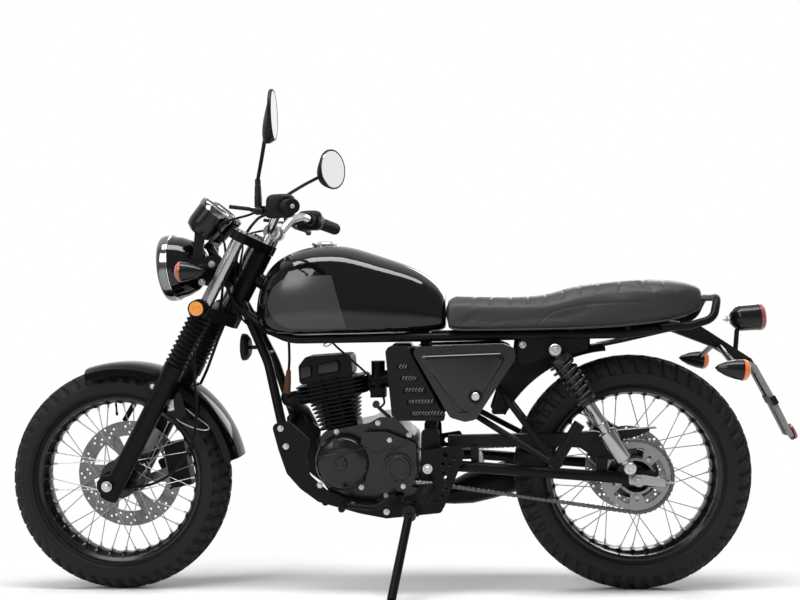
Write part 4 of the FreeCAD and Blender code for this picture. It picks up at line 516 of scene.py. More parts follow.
# Brake discs: ground stainless rings, drilled in rows and bolted to the right of each hub, their windows
# parted by slanted arms. Their ground faces keep a soft, cloudy tone.
ground_steel = bpy.data.materials.new("ground_steel")
tree, principled, output = shader_graph(ground_steel)
place = tree.nodes.new("ShaderNodeTexCoord")
rings = tree.nodes.new("ShaderNodeTexNoise")
rings.inputs["Scale"].default_value = 45.0
rings.inputs["Detail"].default_value = 2.0
tone = tree.nodes.new("ShaderNodeMapRange")
tone.inputs["From Min"].default_value = 0.35
tone.inputs["From Max"].default_value = 0.65
tone.inputs["To Min"].default_value = 0.22
tone.inputs["To Max"].default_value = 0.32
ramp = tree.nodes.new("ShaderNodeMix")
ramp.data_type = "RGBA"
ramp.inputs[6].default_value = (0.10, 0.10, 0.102, 1.0)
ramp.inputs[7].default_value = (0.19, 0.19, 0.192, 1.0)
tree.links.new(place.outputs["Object"], rings.inputs["Vector"])
tree.links.new(rings.outputs[0], tone.inputs["Value"])
tree.links.new(rings.outputs[0], ramp.inputs[0])
tree.links.new(tone.outputs[0], principled.inputs["Roughness"])
tree.links.new(ramp.outputs[2], principled.inputs["Base Color"])
principled.inputs["Metallic"].default_value = 1.0
DISC_WINDOWS = 6
HOLE_PLACES = 24
DISC_HALF = 0.0022


def loop_points(radius, count=64, centre=(0.0, 0.0)):
    """A circle's points, as (x, z)."""
    u = np.linspace(0, 2 * math.pi, count, endpoint=False)
    return np.column_stack([centre[0] + radius * np.cos(u), centre[1] + radius * np.sin(u)])


def cut_plate(name, outline, holes, low_y, high_y, origin, material, body):
    """A plate cut from sheet: a flat outline less its holes, filled by a flat curve and given its thickness
    across the machine. The outline and the holes are (x, z) from the origin."""
    flat = bpy.data.curves.new(name + "_outline", "CURVE")
    flat.dimensions = "2D"
    flat.fill_mode = "BOTH"
    flat.extrude = (high_y - low_y) / 2
    for ring in [outline] + list(holes):
        ring = np.asarray(ring, float)
        spline = flat.splines.new("POLY")
        spline.points.add(len(ring) - 1)
        spline.points.foreach_set("co", np.column_stack([ring, np.zeros(len(ring)),
                                                         np.ones(len(ring))]).ravel())
        spline.use_cyclic_u = True
    holder = bpy.data.objects.new(name + "_outline", flat)
    bpy.context.scene.collection.objects.link(holder)
    made = bpy.data.meshes.new_from_object(holder.evaluated_get(bpy.context.evaluated_depsgraph_get()))
    co = np.empty(len(made.vertices) * 3)
    made.vertices.foreach_get("co", co)
    co = co.reshape(-1, 3)
    faces = [list(f.vertices) for f in made.polygons]
    bpy.data.objects.remove(holder)
    bpy.data.curves.remove(flat)
    bpy.data.meshes.remove(made)
    points = np.column_stack([origin[0] + co[:, 0], (low_y + high_y) / 2 + co[:, 2], origin[2] + co[:, 1]])
    return new_piece(name, points, faces, material, body)


def sector(inner, outer, start, end, skew=0.0, count=10):
    """A window between two radii and two angles, its outer side turned on by a skew."""
    a = np.linspace(start, end, count)
    b = np.linspace(end + skew, start + skew, count)
    return np.vstack([np.column_stack([inner * np.cos(a), inner * np.sin(a)]),
                      np.column_stack([outer * np.cos(b), outer * np.sin(b)])])


def brake_disc(name, axle, radius, bore, y, node, body):
    """Ring, windows and drilled rows, each row's angle a share of the turn."""
    holes = [loop_points(bore, 48)]
    step = 2 * math.pi / DISC_WINDOWS
    for k in range(DISC_WINDOWS):
        holes.append(sector(bore + 0.014, radius - 0.040, k * step, k * step + step * 0.62, 0.16))
    rows = ((0.0070, 0.0), (0.0150, 0.33), (0.0230, 0.66), (0.0310, 0.0))
    for inward, lead in rows:
        for k in range(HOLE_PLACES):
            if (k + int(inward * 1000)) % 3 == 2:
                continue
            turn, row = (k + lead) * 2 * math.pi / HOLE_PLACES, radius - inward
            holes.append(loop_points(0.0036, 10, (row * math.cos(turn), row * math.sin(turn))))
    plate = cut_plate(name, loop_points(radius, 128), holes, y - DISC_HALF, y + DISC_HALF, axle, ground_steel,
                      body)
    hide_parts(node)
    inward = -1 if y > 0 else 1
    collar = lathe([(bore - 0.001, 0.0), (bore + 0.010, 0.0), (bore + 0.009, 0.016), (bore - 0.001, 0.016)],
                   axle + [0, y + inward * DISC_HALF, 0], (0, inward, 0), 48, True)
    a = np.arange(6) * math.pi / 3 + 0.3
    spots = axle + np.column_stack([(bore + 0.006) * np.cos(a), np.full(6, y), (bore + 0.006) * np.sin(a)])
    bolts = rods(spots - [0, inward * 0.002, 0], spots - [0, inward * 0.007, 0], 0.0055, 6)
    mount = new_piece(name + "_mount", *gathered([collar, bolts]), rim_enamel, body)


brake_disc("front_brake_disc", FRONT_AXLE, radius=0.144, bore=0.043, y=0.052, node="front_disc",
           body="front_wheel")
brake_disc("rear_brake_disc", REAR_AXLE, radius=0.110, bore=0.040, y=0.062, node="rear_disc", body="rear_wheel")
caliper_black = finish("caliper_black", (0.0045, 0.0045, 0.0050), (0.35, 0.50), clouds=60.0, grain=1200.0,
                       bump=0.0001)
dress(caliper_black, "front_caliper", "rear_caliper")

# Final drive: a steel rear sprocket cut with wide windows and toothed all round, a chain of riveted link
# plates on rollers. The guard over its top run takes its finish with the air box.
sprocket_steel = finish("sprocket_steel", (0.24, 0.24, 0.24), (0.34, 0.50), clouds=30.0, metallic=1.0,
                        tint=0.25)
chain_steel = finish("chain_steel", (0.10, 0.097, 0.092), (0.30, 0.50), clouds=90.0, metallic=1.0, tint=0.35)
TEETH, TOOTH_ROOT = 38, 0.0855
turn = np.arange(TEETH)[:, None] * 2 * math.pi / TEETH
shape = np.array([(0.0, 0.0), (0.18, 0.0), (0.34, 0.0035), (0.46, 0.0062), (0.54, 0.0062), (0.66, 0.0035),
                  (0.82, 0.0)])
reach = TOOTH_ROOT + shape[None, :, 1] + 0 * turn
angle = turn + shape[None, :, 0] * 2 * math.pi / TEETH
toothed = np.column_stack([(reach * np.cos(angle)).ravel(), (reach * np.sin(angle)).ravel()])
cuts = [loop_points(0.040, 40)]
for k in range(5):
    mid = math.radians(72 * k + 18)
    cuts.append(sector(0.046, 0.072, mid - 0.36, mid + 0.30, 0.06))
    cuts.append(loop_points(0.0045, 12, (0.058 * math.cos(mid + 0.63), 0.058 * math.sin(mid + 0.63))))
sprocket = cut_plate("sprocket", toothed, cuts, -0.073, -0.067, REAR_AXLE, sprocket_steel, "rear_wheel")
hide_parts("rear_sprocket")
collar = lathe([(0.039, 0.0), (0.050, 0.0), (0.049, 0.034), (0.039, 0.034)], REAR_AXLE + [0, -0.067, 0],
               (0, 1, 0), 48, True)
a = np.radians(72 * np.arange(5) + 54)
spots = REAR_AXLE + np.column_stack([0.051 * np.cos(a), np.full(5, -0.073), 0.051 * np.sin(a)])
carrier = new_piece("sprocket_carrier", *collar, rim_enamel, "rear_wheel")
nuts = new_piece("sprocket_nuts", *rods(spots, spots - [0, 0.005, 0], 0.0062, 6), spoke_steel, "rear_wheel")

OUTPUT = np.array([0.739, -0.070, 0.336])
WHEEL_END = REAR_AXLE + [0, -0.070, 0]
LINKS = 126
PITCH_RADII = (0.0365, 0.0905)
PLATE_POINTS = 16
PLATE_HALF = 0.0008
PLATE_END = 0.0058


def belt_line(front, rear, front_radius, rear_radius, count):
    """Even points round two wheels: two arcs joined by the straight lines that touch them both."""
    span = rear - front
    heading = math.atan2(span[2], span[0])
    open_turn = math.acos((front_radius - rear_radius) / np.linalg.norm(span))
    fronts = np.linspace(heading + open_turn, heading + 2 * math.pi - open_turn, 40)
    rears = np.linspace(heading - open_turn, heading + open_turn, 80)
    line = np.vstack([front + front_radius * np.column_stack([np.cos(fronts), 0 * fronts, np.sin(fronts)]),
                      rear + rear_radius * np.column_stack([np.cos(rears), 0 * rears, np.sin(rears)])])
    line = np.vstack([line, line[:1]])
    gone = np.concatenate([[0], np.cumsum(np.linalg.norm(np.diff(line, axis=0), axis=1))])
    even = np.linspace(0, gone[-1], count, endpoint=False)
    return np.column_stack([np.interp(even, gone, line[:, k]) for k in range(3)])


pins = belt_line(OUTPUT, WHEEL_END, *PITCH_RADII, LINKS)
ahead_pin = np.roll(pins, -1, axis=0)
along = ahead_pin - pins
length = np.linalg.norm(along, axis=1, keepdims=True)
along = along / length
up = np.cross(along, [0.0, 1.0, 0.0])
u = np.linspace(0, 2 * math.pi, PLATE_POINTS, endpoint=False)
waist = np.column_stack([np.cos(u), np.sin(u) * (0.0064 - 0.0034 * np.sin(u) ** 6)])
plates = []
for side in (-1, 1):
    offset = np.where(np.arange(LINKS) % 2, 0.0062, 0.0044)[:, None, None] * side * np.array([0, 1, 0])
    half = length[:, None] * 0.5
    flat = (pins[:, None] + along[:, None] * (half + (half + PLATE_END) * waist[None, :, :1])
            + up[:, None] * waist[None, :, 1:])
    wide = side * np.array([0, PLATE_HALF, 0])
    points = np.stack([flat + offset - wide, flat + offset + wide], 1).reshape(-1, 3)
    k = np.arange(PLATE_POINTS)
    onward = (k + 1) % PLATE_POINTS
    wall = np.stack([k, onward, onward + PLATE_POINTS, k + PLATE_POINTS], -1)
    base = np.arange(LINKS) * 2 * PLATE_POINTS
    faces = (wall[None] + base[:, None, None]).reshape(-1, 4).tolist()
    faces += (k[None] + base[:, None]).tolist() + (k[None] + PLATE_POINTS + base[:, None]).tolist()
    plates.append((points, faces))
rollers = rods(pins - [0, 0.0072, 0], pins + [0, 0.0072, 0], 0.0026, 8)
barrels = rods(pins - [0, 0.0034, 0], pins + [0, 0.0034, 0], 0.0042, 8)
chain = new_piece("chain", *gathered(plates + [rollers, barrels]), chain_steel, "chassis")
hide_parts("drive_chain")

# Frame fixings: zinc-plated hexagon bolts on washers hold the engine plates, the swingarm pivot and the
# seat rails. Each head seats on the plate it clamps.


def bolt_heads(spots, outward, radius, height):
    """Hexagon heads on round washers, each standing outward from its seat."""
    s = np.asarray(spots, float).reshape(-1, 3)
    o = np.asarray(outward, float) / np.linalg.norm(outward)
    return gathered([rods(s - o * 0.0015, s + o * 0.0013, radius * 1.4, 18),
                     rods(s + o * 0.001, s + o * height * 0.85, radius, 6),
                     rods(s + o * height * 0.8, s + o * height, radius * 0.86, 12, 0.8)])


OUT = np.array([0.0, -1.0, 0.0])
plate_bolts = [(x, side * 0.096, z) for side in (-1, 1) for x, z in
               ((0.4405, 0.435), (0.4536, 0.389), (0.5396, 0.290), (0.6226, 0.239), (0.708, 0.221))]
fixings = gathered([bolt_heads([s for s in plate_bolts if s[1] < 0], OUT, 0.0056, 0.007),
                    bolt_heads([s for s in plate_bolts if s[1] > 0], -OUT, 0.0056, 0.007),
                    bolt_heads([(0.8155, -0.129, 0.335), (0.8155, 0.129, 0.335)], OUT, 0.0088, 0.008)])
frame_bolts = new_piece("frame_bolts", *fixings, zinc_steel, "chassis")

# Engine: a cast case with finned barrel and head in satin black enamel, webs joining the fins. Round covers
# with screw caps close the alternator and the sprocket on the left; small zinc screws hold them.
engine_enamel = finish("engine_enamel", (0.0036, 0.0036, 0.0042), (0.17, 0.26), clouds=30.0, grain=1100.0,
                       bump=0.00008, specular=0.34)
fin_enamel = finish("fin_enamel", (0.0050, 0.0050, 0.0055), (0.36, 0.50), clouds=45.0, grain=900.0,
                    bump=0.00015)
dress(engine_enamel, "crankcase", "engine_covers")
dress(fin_enamel, "cylinder_barrel", "cylinder_head")
tilt = math.radians(10.3)
column_up = np.array([-math.sin(tilt), 0.0, math.cos(tilt)])
column_back = np.array([math.cos(tilt), 0.0, math.sin(tilt)])
BARREL_ROOT = np.array([0.600, 0.0, 0.347])
webs = []
for side in (-1, 1):
    for back in (-0.020, 0.018):
        foot = BARREL_ROOT + column_up * 0.088 + column_back * back + [0, side * 0.0612, 0]
        webs.append(rods([foot], [foot + column_up * 0.125], 0.0042, 4))
fin_webs = new_piece("fin_webs", *gathered(webs), fin_enamel, "chassis")
screws = gathered([
    bolt_heads([(0.582, -0.078, 0.423), (0.6434, -0.078, 0.280), (0.706, -0.078, 0.259),
                (0.6887, -0.078, 0.444), (0.768, -0.078, 0.412)], OUT, 0.0048, 0.006),
    bolt_heads([(0.720, -0.104, 0.404), (0.752, -0.104, 0.287)], OUT, 0.0045, 0.005)])
cover_screws = new_piece("cover_screws", *screws, zinc_steel, "chassis")


def tube(line, radius, sides=12, lean_to=None):
    """A round tube along a line, p + r (cos u f + sin u g), where f and g are square to the line's heading."""
    p = np.asarray(line, float)
    t = np.gradient(p, axis=0)
    t /= np.linalg.norm(t, axis=1, keepdims=True)
    if lean_to is None:
        lean_to = np.eye(3)[np.argmin(np.abs(t).max(axis=0))]
    f = np.cross(t, lean_to)
    f /= np.linalg.norm(f, axis=1, keepdims=True)
    g = np.cross(t, f)
    u = np.linspace(0, 2 * math.pi, sides, endpoint=False)
    r = np.broadcast_to(np.asarray(radius, float), len(p))[:, None, None]
    points = p[:, None] + r * (np.cos(u)[None, :, None] * f[:, None] + np.sin(u)[None, :, None] * g[:, None])
    faces = grid_faces(len(p), sides, False, True).tolist()
    return points.reshape(-1, 3), faces + [list(range(sides)),
                                           list(range((len(p) - 1) * sides, len(p) * sides))]


def wire(name, points, radius, material, body, count=40, sides=12):
    """A bent wire, cable or pipe: a tube along the smooth line through its points."""
    return new_piece(name, *tube(smooth_line(points, count), radius, sides), material, body, sharp=60.0)


def crowned_panel(outline, y, rise, rim=0.18, rows=9):
    """A raised panel: the outline drawn in towards its middle while it rises by rise (1 - (1 - w)^2), then a
    flat middle. It rises towards the left, -y."""
    ring = np.asarray(outline, float)
    mid = ring.mean(axis=0)
    w = np.linspace(0, 1, rows)[:, None]
    shrink = 1 - rim * w
    lift = rise * (1 - (1 - w) ** 2)
    x = mid[0] + (ring[None, :, 0] - mid[0]) * shrink
    z = mid[1] + (ring[None, :, 1] - mid[1]) * shrink
    points = np.stack([x, y - lift + 0 * x, z], -1).reshape(-1, 3)
    n = len(ring)
    faces = grid_faces(rows, n, False, True).tolist() + [list(range(n)), list(range((rows - 1) * n, rows * n))]
    return points, faces


def round_corners(corners, radius, steps=6):
    """A closed outline whose corners are turned into arcs of quadratic curves."""
    c = np.asarray(corners, float)
    before, after = np.roll(c, 1, axis=0) - c, np.roll(c, -1, axis=0) - c
    lb, la = np.linalg.norm(before, axis=1, keepdims=True), np.linalg.norm(after, axis=1, keepdims=True)
    start = c + before / lb * np.minimum(radius, lb * 0.45)
    end = c + after / la * np.minimum(radius, la * 0.45)
    t = np.linspace(0, 1, steps)[None, :, None]
    arc = (1 - t) ** 2 * start[:, None] + 2 * t * (1 - t) * c[:, None] + t * t * end[:, None]
    return arc.reshape(-1, 2)


caps = gathered([
    lathe([(0.0001, 0.006), (0.0060, 0.006), (0.0068, 0.004), (0.0100, 0.004), (0.0112, 0.0025),
           (0.0112, -0.004), (0.0001, -0.004)], (0.5875, -0.116, 0.3975), OUT, 28),
    lathe([(0.0001, 0.0035), (0.0085, 0.0035), (0.0095, 0.005), (0.0150, 0.005), (0.0165, 0.003),
           (0.0165, -0.004), (0.0001, -0.004)], (0.597, -0.1235, 0.348), OUT, 36),
    lathe([(0.0001, 0.002), (0.022, 0.002), (0.024, 0.0035), (0.030, 0.0035), (0.0325, 0.0015),
           (0.0330, -0.004), (0.0001, -0.004)], (0.741, -0.112, 0.334), OUT, 44),
    tube(smooth_line([(0.531, -0.1045, 0.365), (0.546, -0.1125, 0.367), (0.566, -0.1180, 0.369),
                      (0.600, -0.1196, 0.374), (0.634, -0.1172, 0.381), (0.652, -0.1112, 0.385),
                      (0.664, -0.1040, 0.388)], 30), 0.0026, 10),
    tube(smooth_line([(0.672, -0.1035, 0.372), (0.694, -0.1042, 0.376), (0.721, -0.1044, 0.384),
                      (0.770, -0.1035, 0.402)], 24),
         0.0030, 10),
    tube(smooth_line([(0.762, -0.1035, 0.396), (0.735, -0.1042, 0.383), (0.716, -0.1044, 0.366),
                      (0.706, -0.1044, 0.344), (0.709, -0.1044, 0.318), (0.722, -0.1040, 0.300)], 26), 0.0026,
         10)])
cover_caps = new_piece("cover_caps", *caps, engine_enamel, "chassis", sharp=32.0)
head_bosses = gathered([
    crowned_panel(round_corners([(0.4855, 0.5845), (0.5165, 0.5945), (0.5175, 0.5625), (0.4865, 0.5545)],
                                0.006), -0.0515,
                  0.006, 0.2),
    crowned_panel(round_corners([(0.5305, 0.5925), (0.5900, 0.6065), (0.5920, 0.5755), (0.5305, 0.5670)],
                                0.007), -0.0515,
                  0.008, 0.2)])
rocker_bosses = new_piece("rocker_bosses", *head_bosses, engine_enamel, "chassis")

# Ignition and clutch: the plug cap and its lead come up in front of the head; the clutch cable and its arm
# lie behind the barrel, and a looped wire holds the cable under the tank.
moulded_rubber = finish("moulded_rubber", (0.0050, 0.0050, 0.0052), (0.50, 0.66), clouds=40.0, grain=1300.0,
                        bump=0.0001)
copper_boot = finish("copper_boot", (0.085, 0.038, 0.022), (0.45, 0.60), clouds=70.0, grain=900.0, bump=0.00008)
cable_black = finish("cable_black", (0.0048, 0.0048, 0.0050), (0.35, 0.48), clouds=60.0, grain=1500.0,
                     bump=0.00005)
lead = wire("plug_lead", [(0.452, -0.020, 0.690), (0.454, -0.030, 0.650), (0.456, -0.040, 0.606),
                          (0.454, -0.045, 0.575), (0.449, -0.047, 0.540)], 0.0035, cable_black, "chassis")
boot = new_piece("plug_boot", *lathe([(0.0001, 0.004), (0.0045, 0.004), (0.0062, 0.0), (0.0088, -0.030),
                                      (0.0096, -0.060), (0.0092, -0.066), (0.0001, -0.066)],
                                     (0.4545, -0.045, 0.577), (0.10, 0.02, 1.0), 24),
                 copper_boot, "chassis")
cap_line = smooth_line([(0.447, -0.047, 0.520), (0.446, -0.047, 0.508), (0.452, -0.048, 0.498),
                        (0.470, -0.048, 0.500), (0.505, -0.046, 0.508)], 26)
plug_cap = new_piece("plug_cap", *tube(cap_line, np.interp(np.linspace(0, 1, 26), [0, 0.1, 0.5, 0.75, 0.8, 1.0],
                                                           [0.010, 0.0125, 0.012, 0.010, 0.0125, 0.0125]), 20),
                     moulded_rubber, "chassis", sharp=50.0)
clutch_cable = wire("clutch_cable", [(0.560, -0.040, 0.662), (0.580, -0.040, 0.640), (0.616, -0.046, 0.608),
                                     (0.655, -0.055, 0.574), (0.690, -0.066, 0.538), (0.706, -0.072, 0.498),
                                     (0.694, -0.074, 0.482)], 0.0028, cable_black, "chassis", 48)
clutch_arm = new_piece("clutch_arm", *gathered([
    tube(smooth_line([(0.6835, -0.074, 0.492), (0.694, -0.074, 0.480), (0.709, -0.072, 0.466),
                      (0.727, -0.068, 0.448), (0.735, -0.062, 0.436)], 20), 0.0045, 10),
    lathe([(0.0001, 0.005), (0.009, 0.005), (0.0095, -0.006), (0.0001, -0.006)], (0.6845, -0.074, 0.491), OUT,
          20)]),
                       engine_enamel, "chassis", sharp=50.0)
cable_hoop = wire("cable_hoop", [(0.575, -0.030, 0.664), (0.571, -0.040, 0.650), (0.556, -0.046, 0.640),
                                 (0.548, -0.042, 0.645), (0.562, -0.036, 0.653), (0.585, -0.030, 0.662)],
                  0.0016, zinc_steel, "chassis", 30, 8)
relay_box = new_piece("relay_box", *crowned_panel(round_corners([(0.717, 0.236), (0.749, 0.238), (0.751, 0.266),
                                                                   (0.719, 0.264)], 0.004), -0.078, 0.026,
                                                  0.08),
                      moulded_rubber, "chassis")

# Carburettor, exhaust and air box: cast and moulded black parts. Each slot of the air box is filled with a
# strip of pressed mesh, set back from the slats.
trim_plastic = finish("trim_plastic", (0.0050, 0.0050, 0.0054), (0.42, 0.56), grain=1500.0, bump=0.0001,
                      specular=0.16)
pipe_black = finish("pipe_black", (0.0040, 0.0040, 0.0040), (0.28, 0.42), clouds=22.0, grain=800.0,
                    bump=0.00008)
dress(pipe_black, "exhaust_pipe", "muffler", "carburettor")
dress(trim_plastic, "air_box", "horn", "chain_guard")
mesh_wires = []
for side in (-1, 1):
    for k in range(5):
        length = 0.084 - 0.0133 * k
        mid_x, mid_z = 0.817 - 0.0146 * k, 0.471 + 0.0295 * k
        rows = np.arange(-length / 2 + 0.006, length / 2 - 0.005, 0.0078)
        for slope in (-0.0070, 0.0070):
            low = np.column_stack([mid_x + rows - slope / 2, np.full(len(rows), side * 0.1115),
                                   np.full(len(rows), mid_z - 0.0060)])
            high = low + [slope, 0, 0.012]
            mesh_wires.append(rods(low, high, 0.0010, 5))
air_mesh = new_piece("air_mesh", *gathered(mesh_wires), spoke_steel, "chassis")

# Side covers: moulded gloss-black triangles over the battery bay. A raised panel fills the middle inside a
# rounded band, and a round key lock closes the low corner.
side_gloss = finish("side_gloss", (0.0035, 0.0035, 0.0038), (0.10, 0.17), clouds=10.0, grain=300.0,
                    bump=0.00002, specular=0.40)
dress(side_gloss, "side_covers")
panel_line = round_corners([(0.797, 0.617), (1.004, 0.622), (1.013, 0.606), (0.931, 0.478), (0.905, 0.474)],
                           0.016, 8)
for side, label in ((-1, "left"), (1, "right")):
    points, faces = crowned_panel(panel_line, -0.1285, 0.0055, 0.14)
    points[:, 1] *= -side
    panel = new_piece(label + "_cover_panel", points, faces, side_gloss, "chassis")
    lock_spot = (0.938, side * 0.134, 0.5145)
    lock_ring = new_piece(label + "_lock_ring", *lathe([(0.0001, 0.002), (0.0125, 0.002), (0.0135, 0.004),
                                                        (0.0165, 0.004), (0.0175, 0.0), (0.0001, -0.001)],
                                                       lock_spot, (0, side, 0), 36),
                          trim_plastic, "chassis")
    slot_bar = [np.array(lock_spot) + [-0.005, side * 0.0062, 0.001],
                np.array(lock_spot) + [0.005, side * 0.0062, -0.001]]
    barrel = new_piece(label + "_lock", *gathered([
        lathe([(0.0001, 0.0062), (0.0095, 0.0062), (0.0105, 0.005), (0.0105, 0.001), (0.0001, 0.001)],
              lock_spot,
              (0, side, 0), 28), rods(slot_bar[:1], slot_bar[1:], 0.0010, 6)]), zinc_steel, "chassis")

# Front suspension: dull chrome stanchions in black clamps, pleated rubber boots and black sliders. An amber
# reflector in a dark ring is screwed to each end of the lower clamp.
stanchion_steel = finish("stanchion_steel", (0.36, 0.36, 0.37), (0.20, 0.30), clouds=30.0, metallic=1.0,
                         tint=0.08)
fork_black = finish("fork_black", (0.0032, 0.0032, 0.0035), (0.28, 0.40), grain=900.0, bump=0.00006)
dress(stanchion_steel, "fork_tubes")
dress(fork_black, "triple_clamps", "fork_sliders")
dress(moulded_rubber, "fork_boots")


def lens_paint(name, colour, rib_scale=260.0, rib_height=0.0004, rough=0.14):
    """A moulded lens: clear colour over fine ribs, under a gloss coat."""
    material = bpy.data.materials.new(name)
    tree, principled, output = shader_graph(material)
    place = tree.nodes.new("ShaderNodeTexCoord")
    ribs = tree.nodes.new("ShaderNodeTexVoronoi")
    ribs.inputs["Scale"].default_value = rib_scale
    lift = tree.nodes.new("ShaderNodeBump")
    lift.inputs["Distance"].default_value = rib_height
    shade = tree.nodes.new("ShaderNodeMix")
    shade.data_type = "RGBA"
    shade.inputs[6].default_value = (*[min(1.0, c * 1.25) for c in colour], 1.0)
    shade.inputs[7].default_value = (*[c * 0.72 for c in colour], 1.0)
    tree.links.new(place.outputs["Object"], ribs.inputs["Vector"])
    tree.links.new(ribs.outputs["Distance"], lift.inputs["Height"])
    tree.links.new(ribs.outputs["Distance"], shade.inputs[0])
    tree.links.new(shade.outputs[2], principled.inputs["Base Color"])
    tree.links.new(lift.outputs[0], principled.inputs["Normal"])
    principled.inputs["Roughness"].default_value = rough
    principled.inputs["Coat Weight"].default_value = 0.5
    principled.inputs["Coat Roughness"].default_value = 0.05
    return material


amber_lens = lens_paint("amber_lens", (0.70, 0.27, 0.035))
for side, label in ((-1, "left"), (1, "right")):
    spot = np.array([0.2385, side * 0.1315, 0.7453])
    ring = new_piece(label + "_reflector_ring", *lathe([(0.0001, 0.003), (0.0185, 0.003), (0.0195, 0.0045),
                                                        (0.0215, 0.004), (0.0225, -0.004), (0.0185, -0.016),
                                                        (0.0001, -0.016)], spot,
                                                       (0, side, 0), 44), fork_black, "steering")
    face = new_piece(label + "_reflector", *lathe([(0.0001, 0.0052), (0.012, 0.005), (0.0182, 0.0040),
                                                   (0.0185, 0.002), (0.0001, 0.002)], spot, (0, side, 0), 44),
                     amber_lens, "steering")
axle_nut = new_piece("front_axle_nut", *bolt_heads([FRONT_AXLE + [0.004, -0.126, -0.001]], OUT, 0.0098, 0.010),
                     zinc_steel, "steering")
STRUT_LINE = smooth_line([(0.022, 0.080, 0.527), (-0.006, 0.081, 0.483), (-0.0345, 0.082, 0.437)], 12)
strut = new_piece("caliper_strut", *tube(STRUT_LINE, 0.0075, 12), fork_black, "steering")
clip = new_piece("cable_clip", *gathered([
    crowned_panel(round_corners([(0.136, 0.508), (0.155, 0.512), (0.158, 0.482), (0.139, 0.478)], 0.003),
                  -0.0700, 0.003, 0.1),
    bolt_heads([(0.147, -0.0725, 0.496)], OUT, 0.0040, 0.004),
    tube(smooth_line([(0.150, -0.070, 0.505), (0.170, -0.066, 0.498), (0.205, -0.062, 0.468),
                      (0.243, -0.060, 0.438), (0.236, -0.060, 0.428), (0.205, -0.062, 0.434),
                      (0.165, -0.066, 0.455), (0.150, -0.069, 0.482)], 60),
         0.0016, 8)]), zinc_steel, "steering", sharp=50.0)
valve = new_piece("valve_stem", *lathe([(0.0001, 0.0), (0.0028, 0.0), (0.0030, -0.010), (0.0024, -0.011),
                                        (0.0024, -0.024), (0.0034, -0.025), (0.0034, -0.034),
                                        (0.0001, -0.0345)], (-0.0265, 0.0, 0.4955),
                                       (-0.08, 0, 1), 14), cable_black, "front_wheel")

# Front mudguard: a long blade of pressed steel in gloss black. Brackets bolt it to the inside of both fork
# sliders, so it turns with the wheel.
tank_gloss = finish("tank_gloss", (0.0028, 0.0028, 0.0030), (0.05, 0.09), clouds=6.0, grain=260.0,
                    specular=0.38)
guard_gloss = finish("guard_gloss", (0.0026, 0.0026, 0.0028), (0.07, 0.12), clouds=8.0, grain=260.0,
                     specular=0.14)
dress(guard_gloss, "front_fender")
guard_bolts = new_piece("guard_bolts", *bolt_heads([(0.100, -0.0707, 0.545), (0.150, -0.0707, 0.492)], OUT,
                                                   0.0048, 0.005),
                        zinc_steel, "steering")

# Headlamp: a spun steel bowl in gloss black, a bright rim with a fine seam, and a ribbed glass. It hangs
# between two pressed ears, bolted through to the fork.
chrome = finish("chrome", (0.55, 0.55, 0.56), (0.05, 0.10), clouds=12.0, metallic=1.0, tint=0.04)
smoked_chrome = finish("smoked_chrome", (0.20, 0.20, 0.205), (0.06, 0.12), clouds=12.0, metallic=1.0, tint=0.06)
dress(tank_gloss, "headlight")
LAMP_CENTRE = np.array([0.142, 0.0, 0.855])
LAMP_AXIS = np.array([-math.cos(math.radians(5)), 0.0, -math.sin(math.radians(5))])
seam = new_piece("headlamp_seam", *lathe([(0.0850, -0.0075), (0.0885, -0.0070), (0.0885, -0.0050),
                                          (0.0850, -0.0045)],
                                         LAMP_CENTRE, LAMP_AXIS, 96, True), chrome, "steering")
rim_ring = new_piece("headlamp_rim", *lathe([(0.0860, -0.0040), (0.0878, -0.0035), (0.0882, 0.0060),
                                             (0.0874, 0.0150), (0.0850, 0.0195), (0.0815, 0.0220),
                                             (0.0790, 0.0215), (0.0790, 0.0100), (0.0860, 0.0100)], LAMP_CENTRE,
                                            LAMP_AXIS, 96, True), smoked_chrome, "steering")
clear_lens = lens_paint("clear_lens", (0.42, 0.43, 0.44), 180.0, 0.0006, 0.10)
glass = new_piece("headlamp_glass", *lathe([(0.0001, 0.0360), (0.020, 0.0355), (0.040, 0.0335), (0.058, 0.0300),
                                            (0.072, 0.0250), (0.0795, 0.0205), (0.0795, 0.0150),
                                            (0.0001, 0.0150)], LAMP_CENTRE, LAMP_AXIS, 96),
                  clear_lens, "steering")
ear_bolts = new_piece("headlamp_bolts", *gathered([
    bolt_heads([(0.2674, -0.085, 0.8594), (0.2409, -0.085, 0.8128)], OUT, 0.0062, 0.007),
    bolt_heads([(0.2674, 0.085, 0.8594), (0.2409, 0.085, 0.8128)], -OUT, 0.0062, 0.007)]), zinc_steel,
                      "steering")

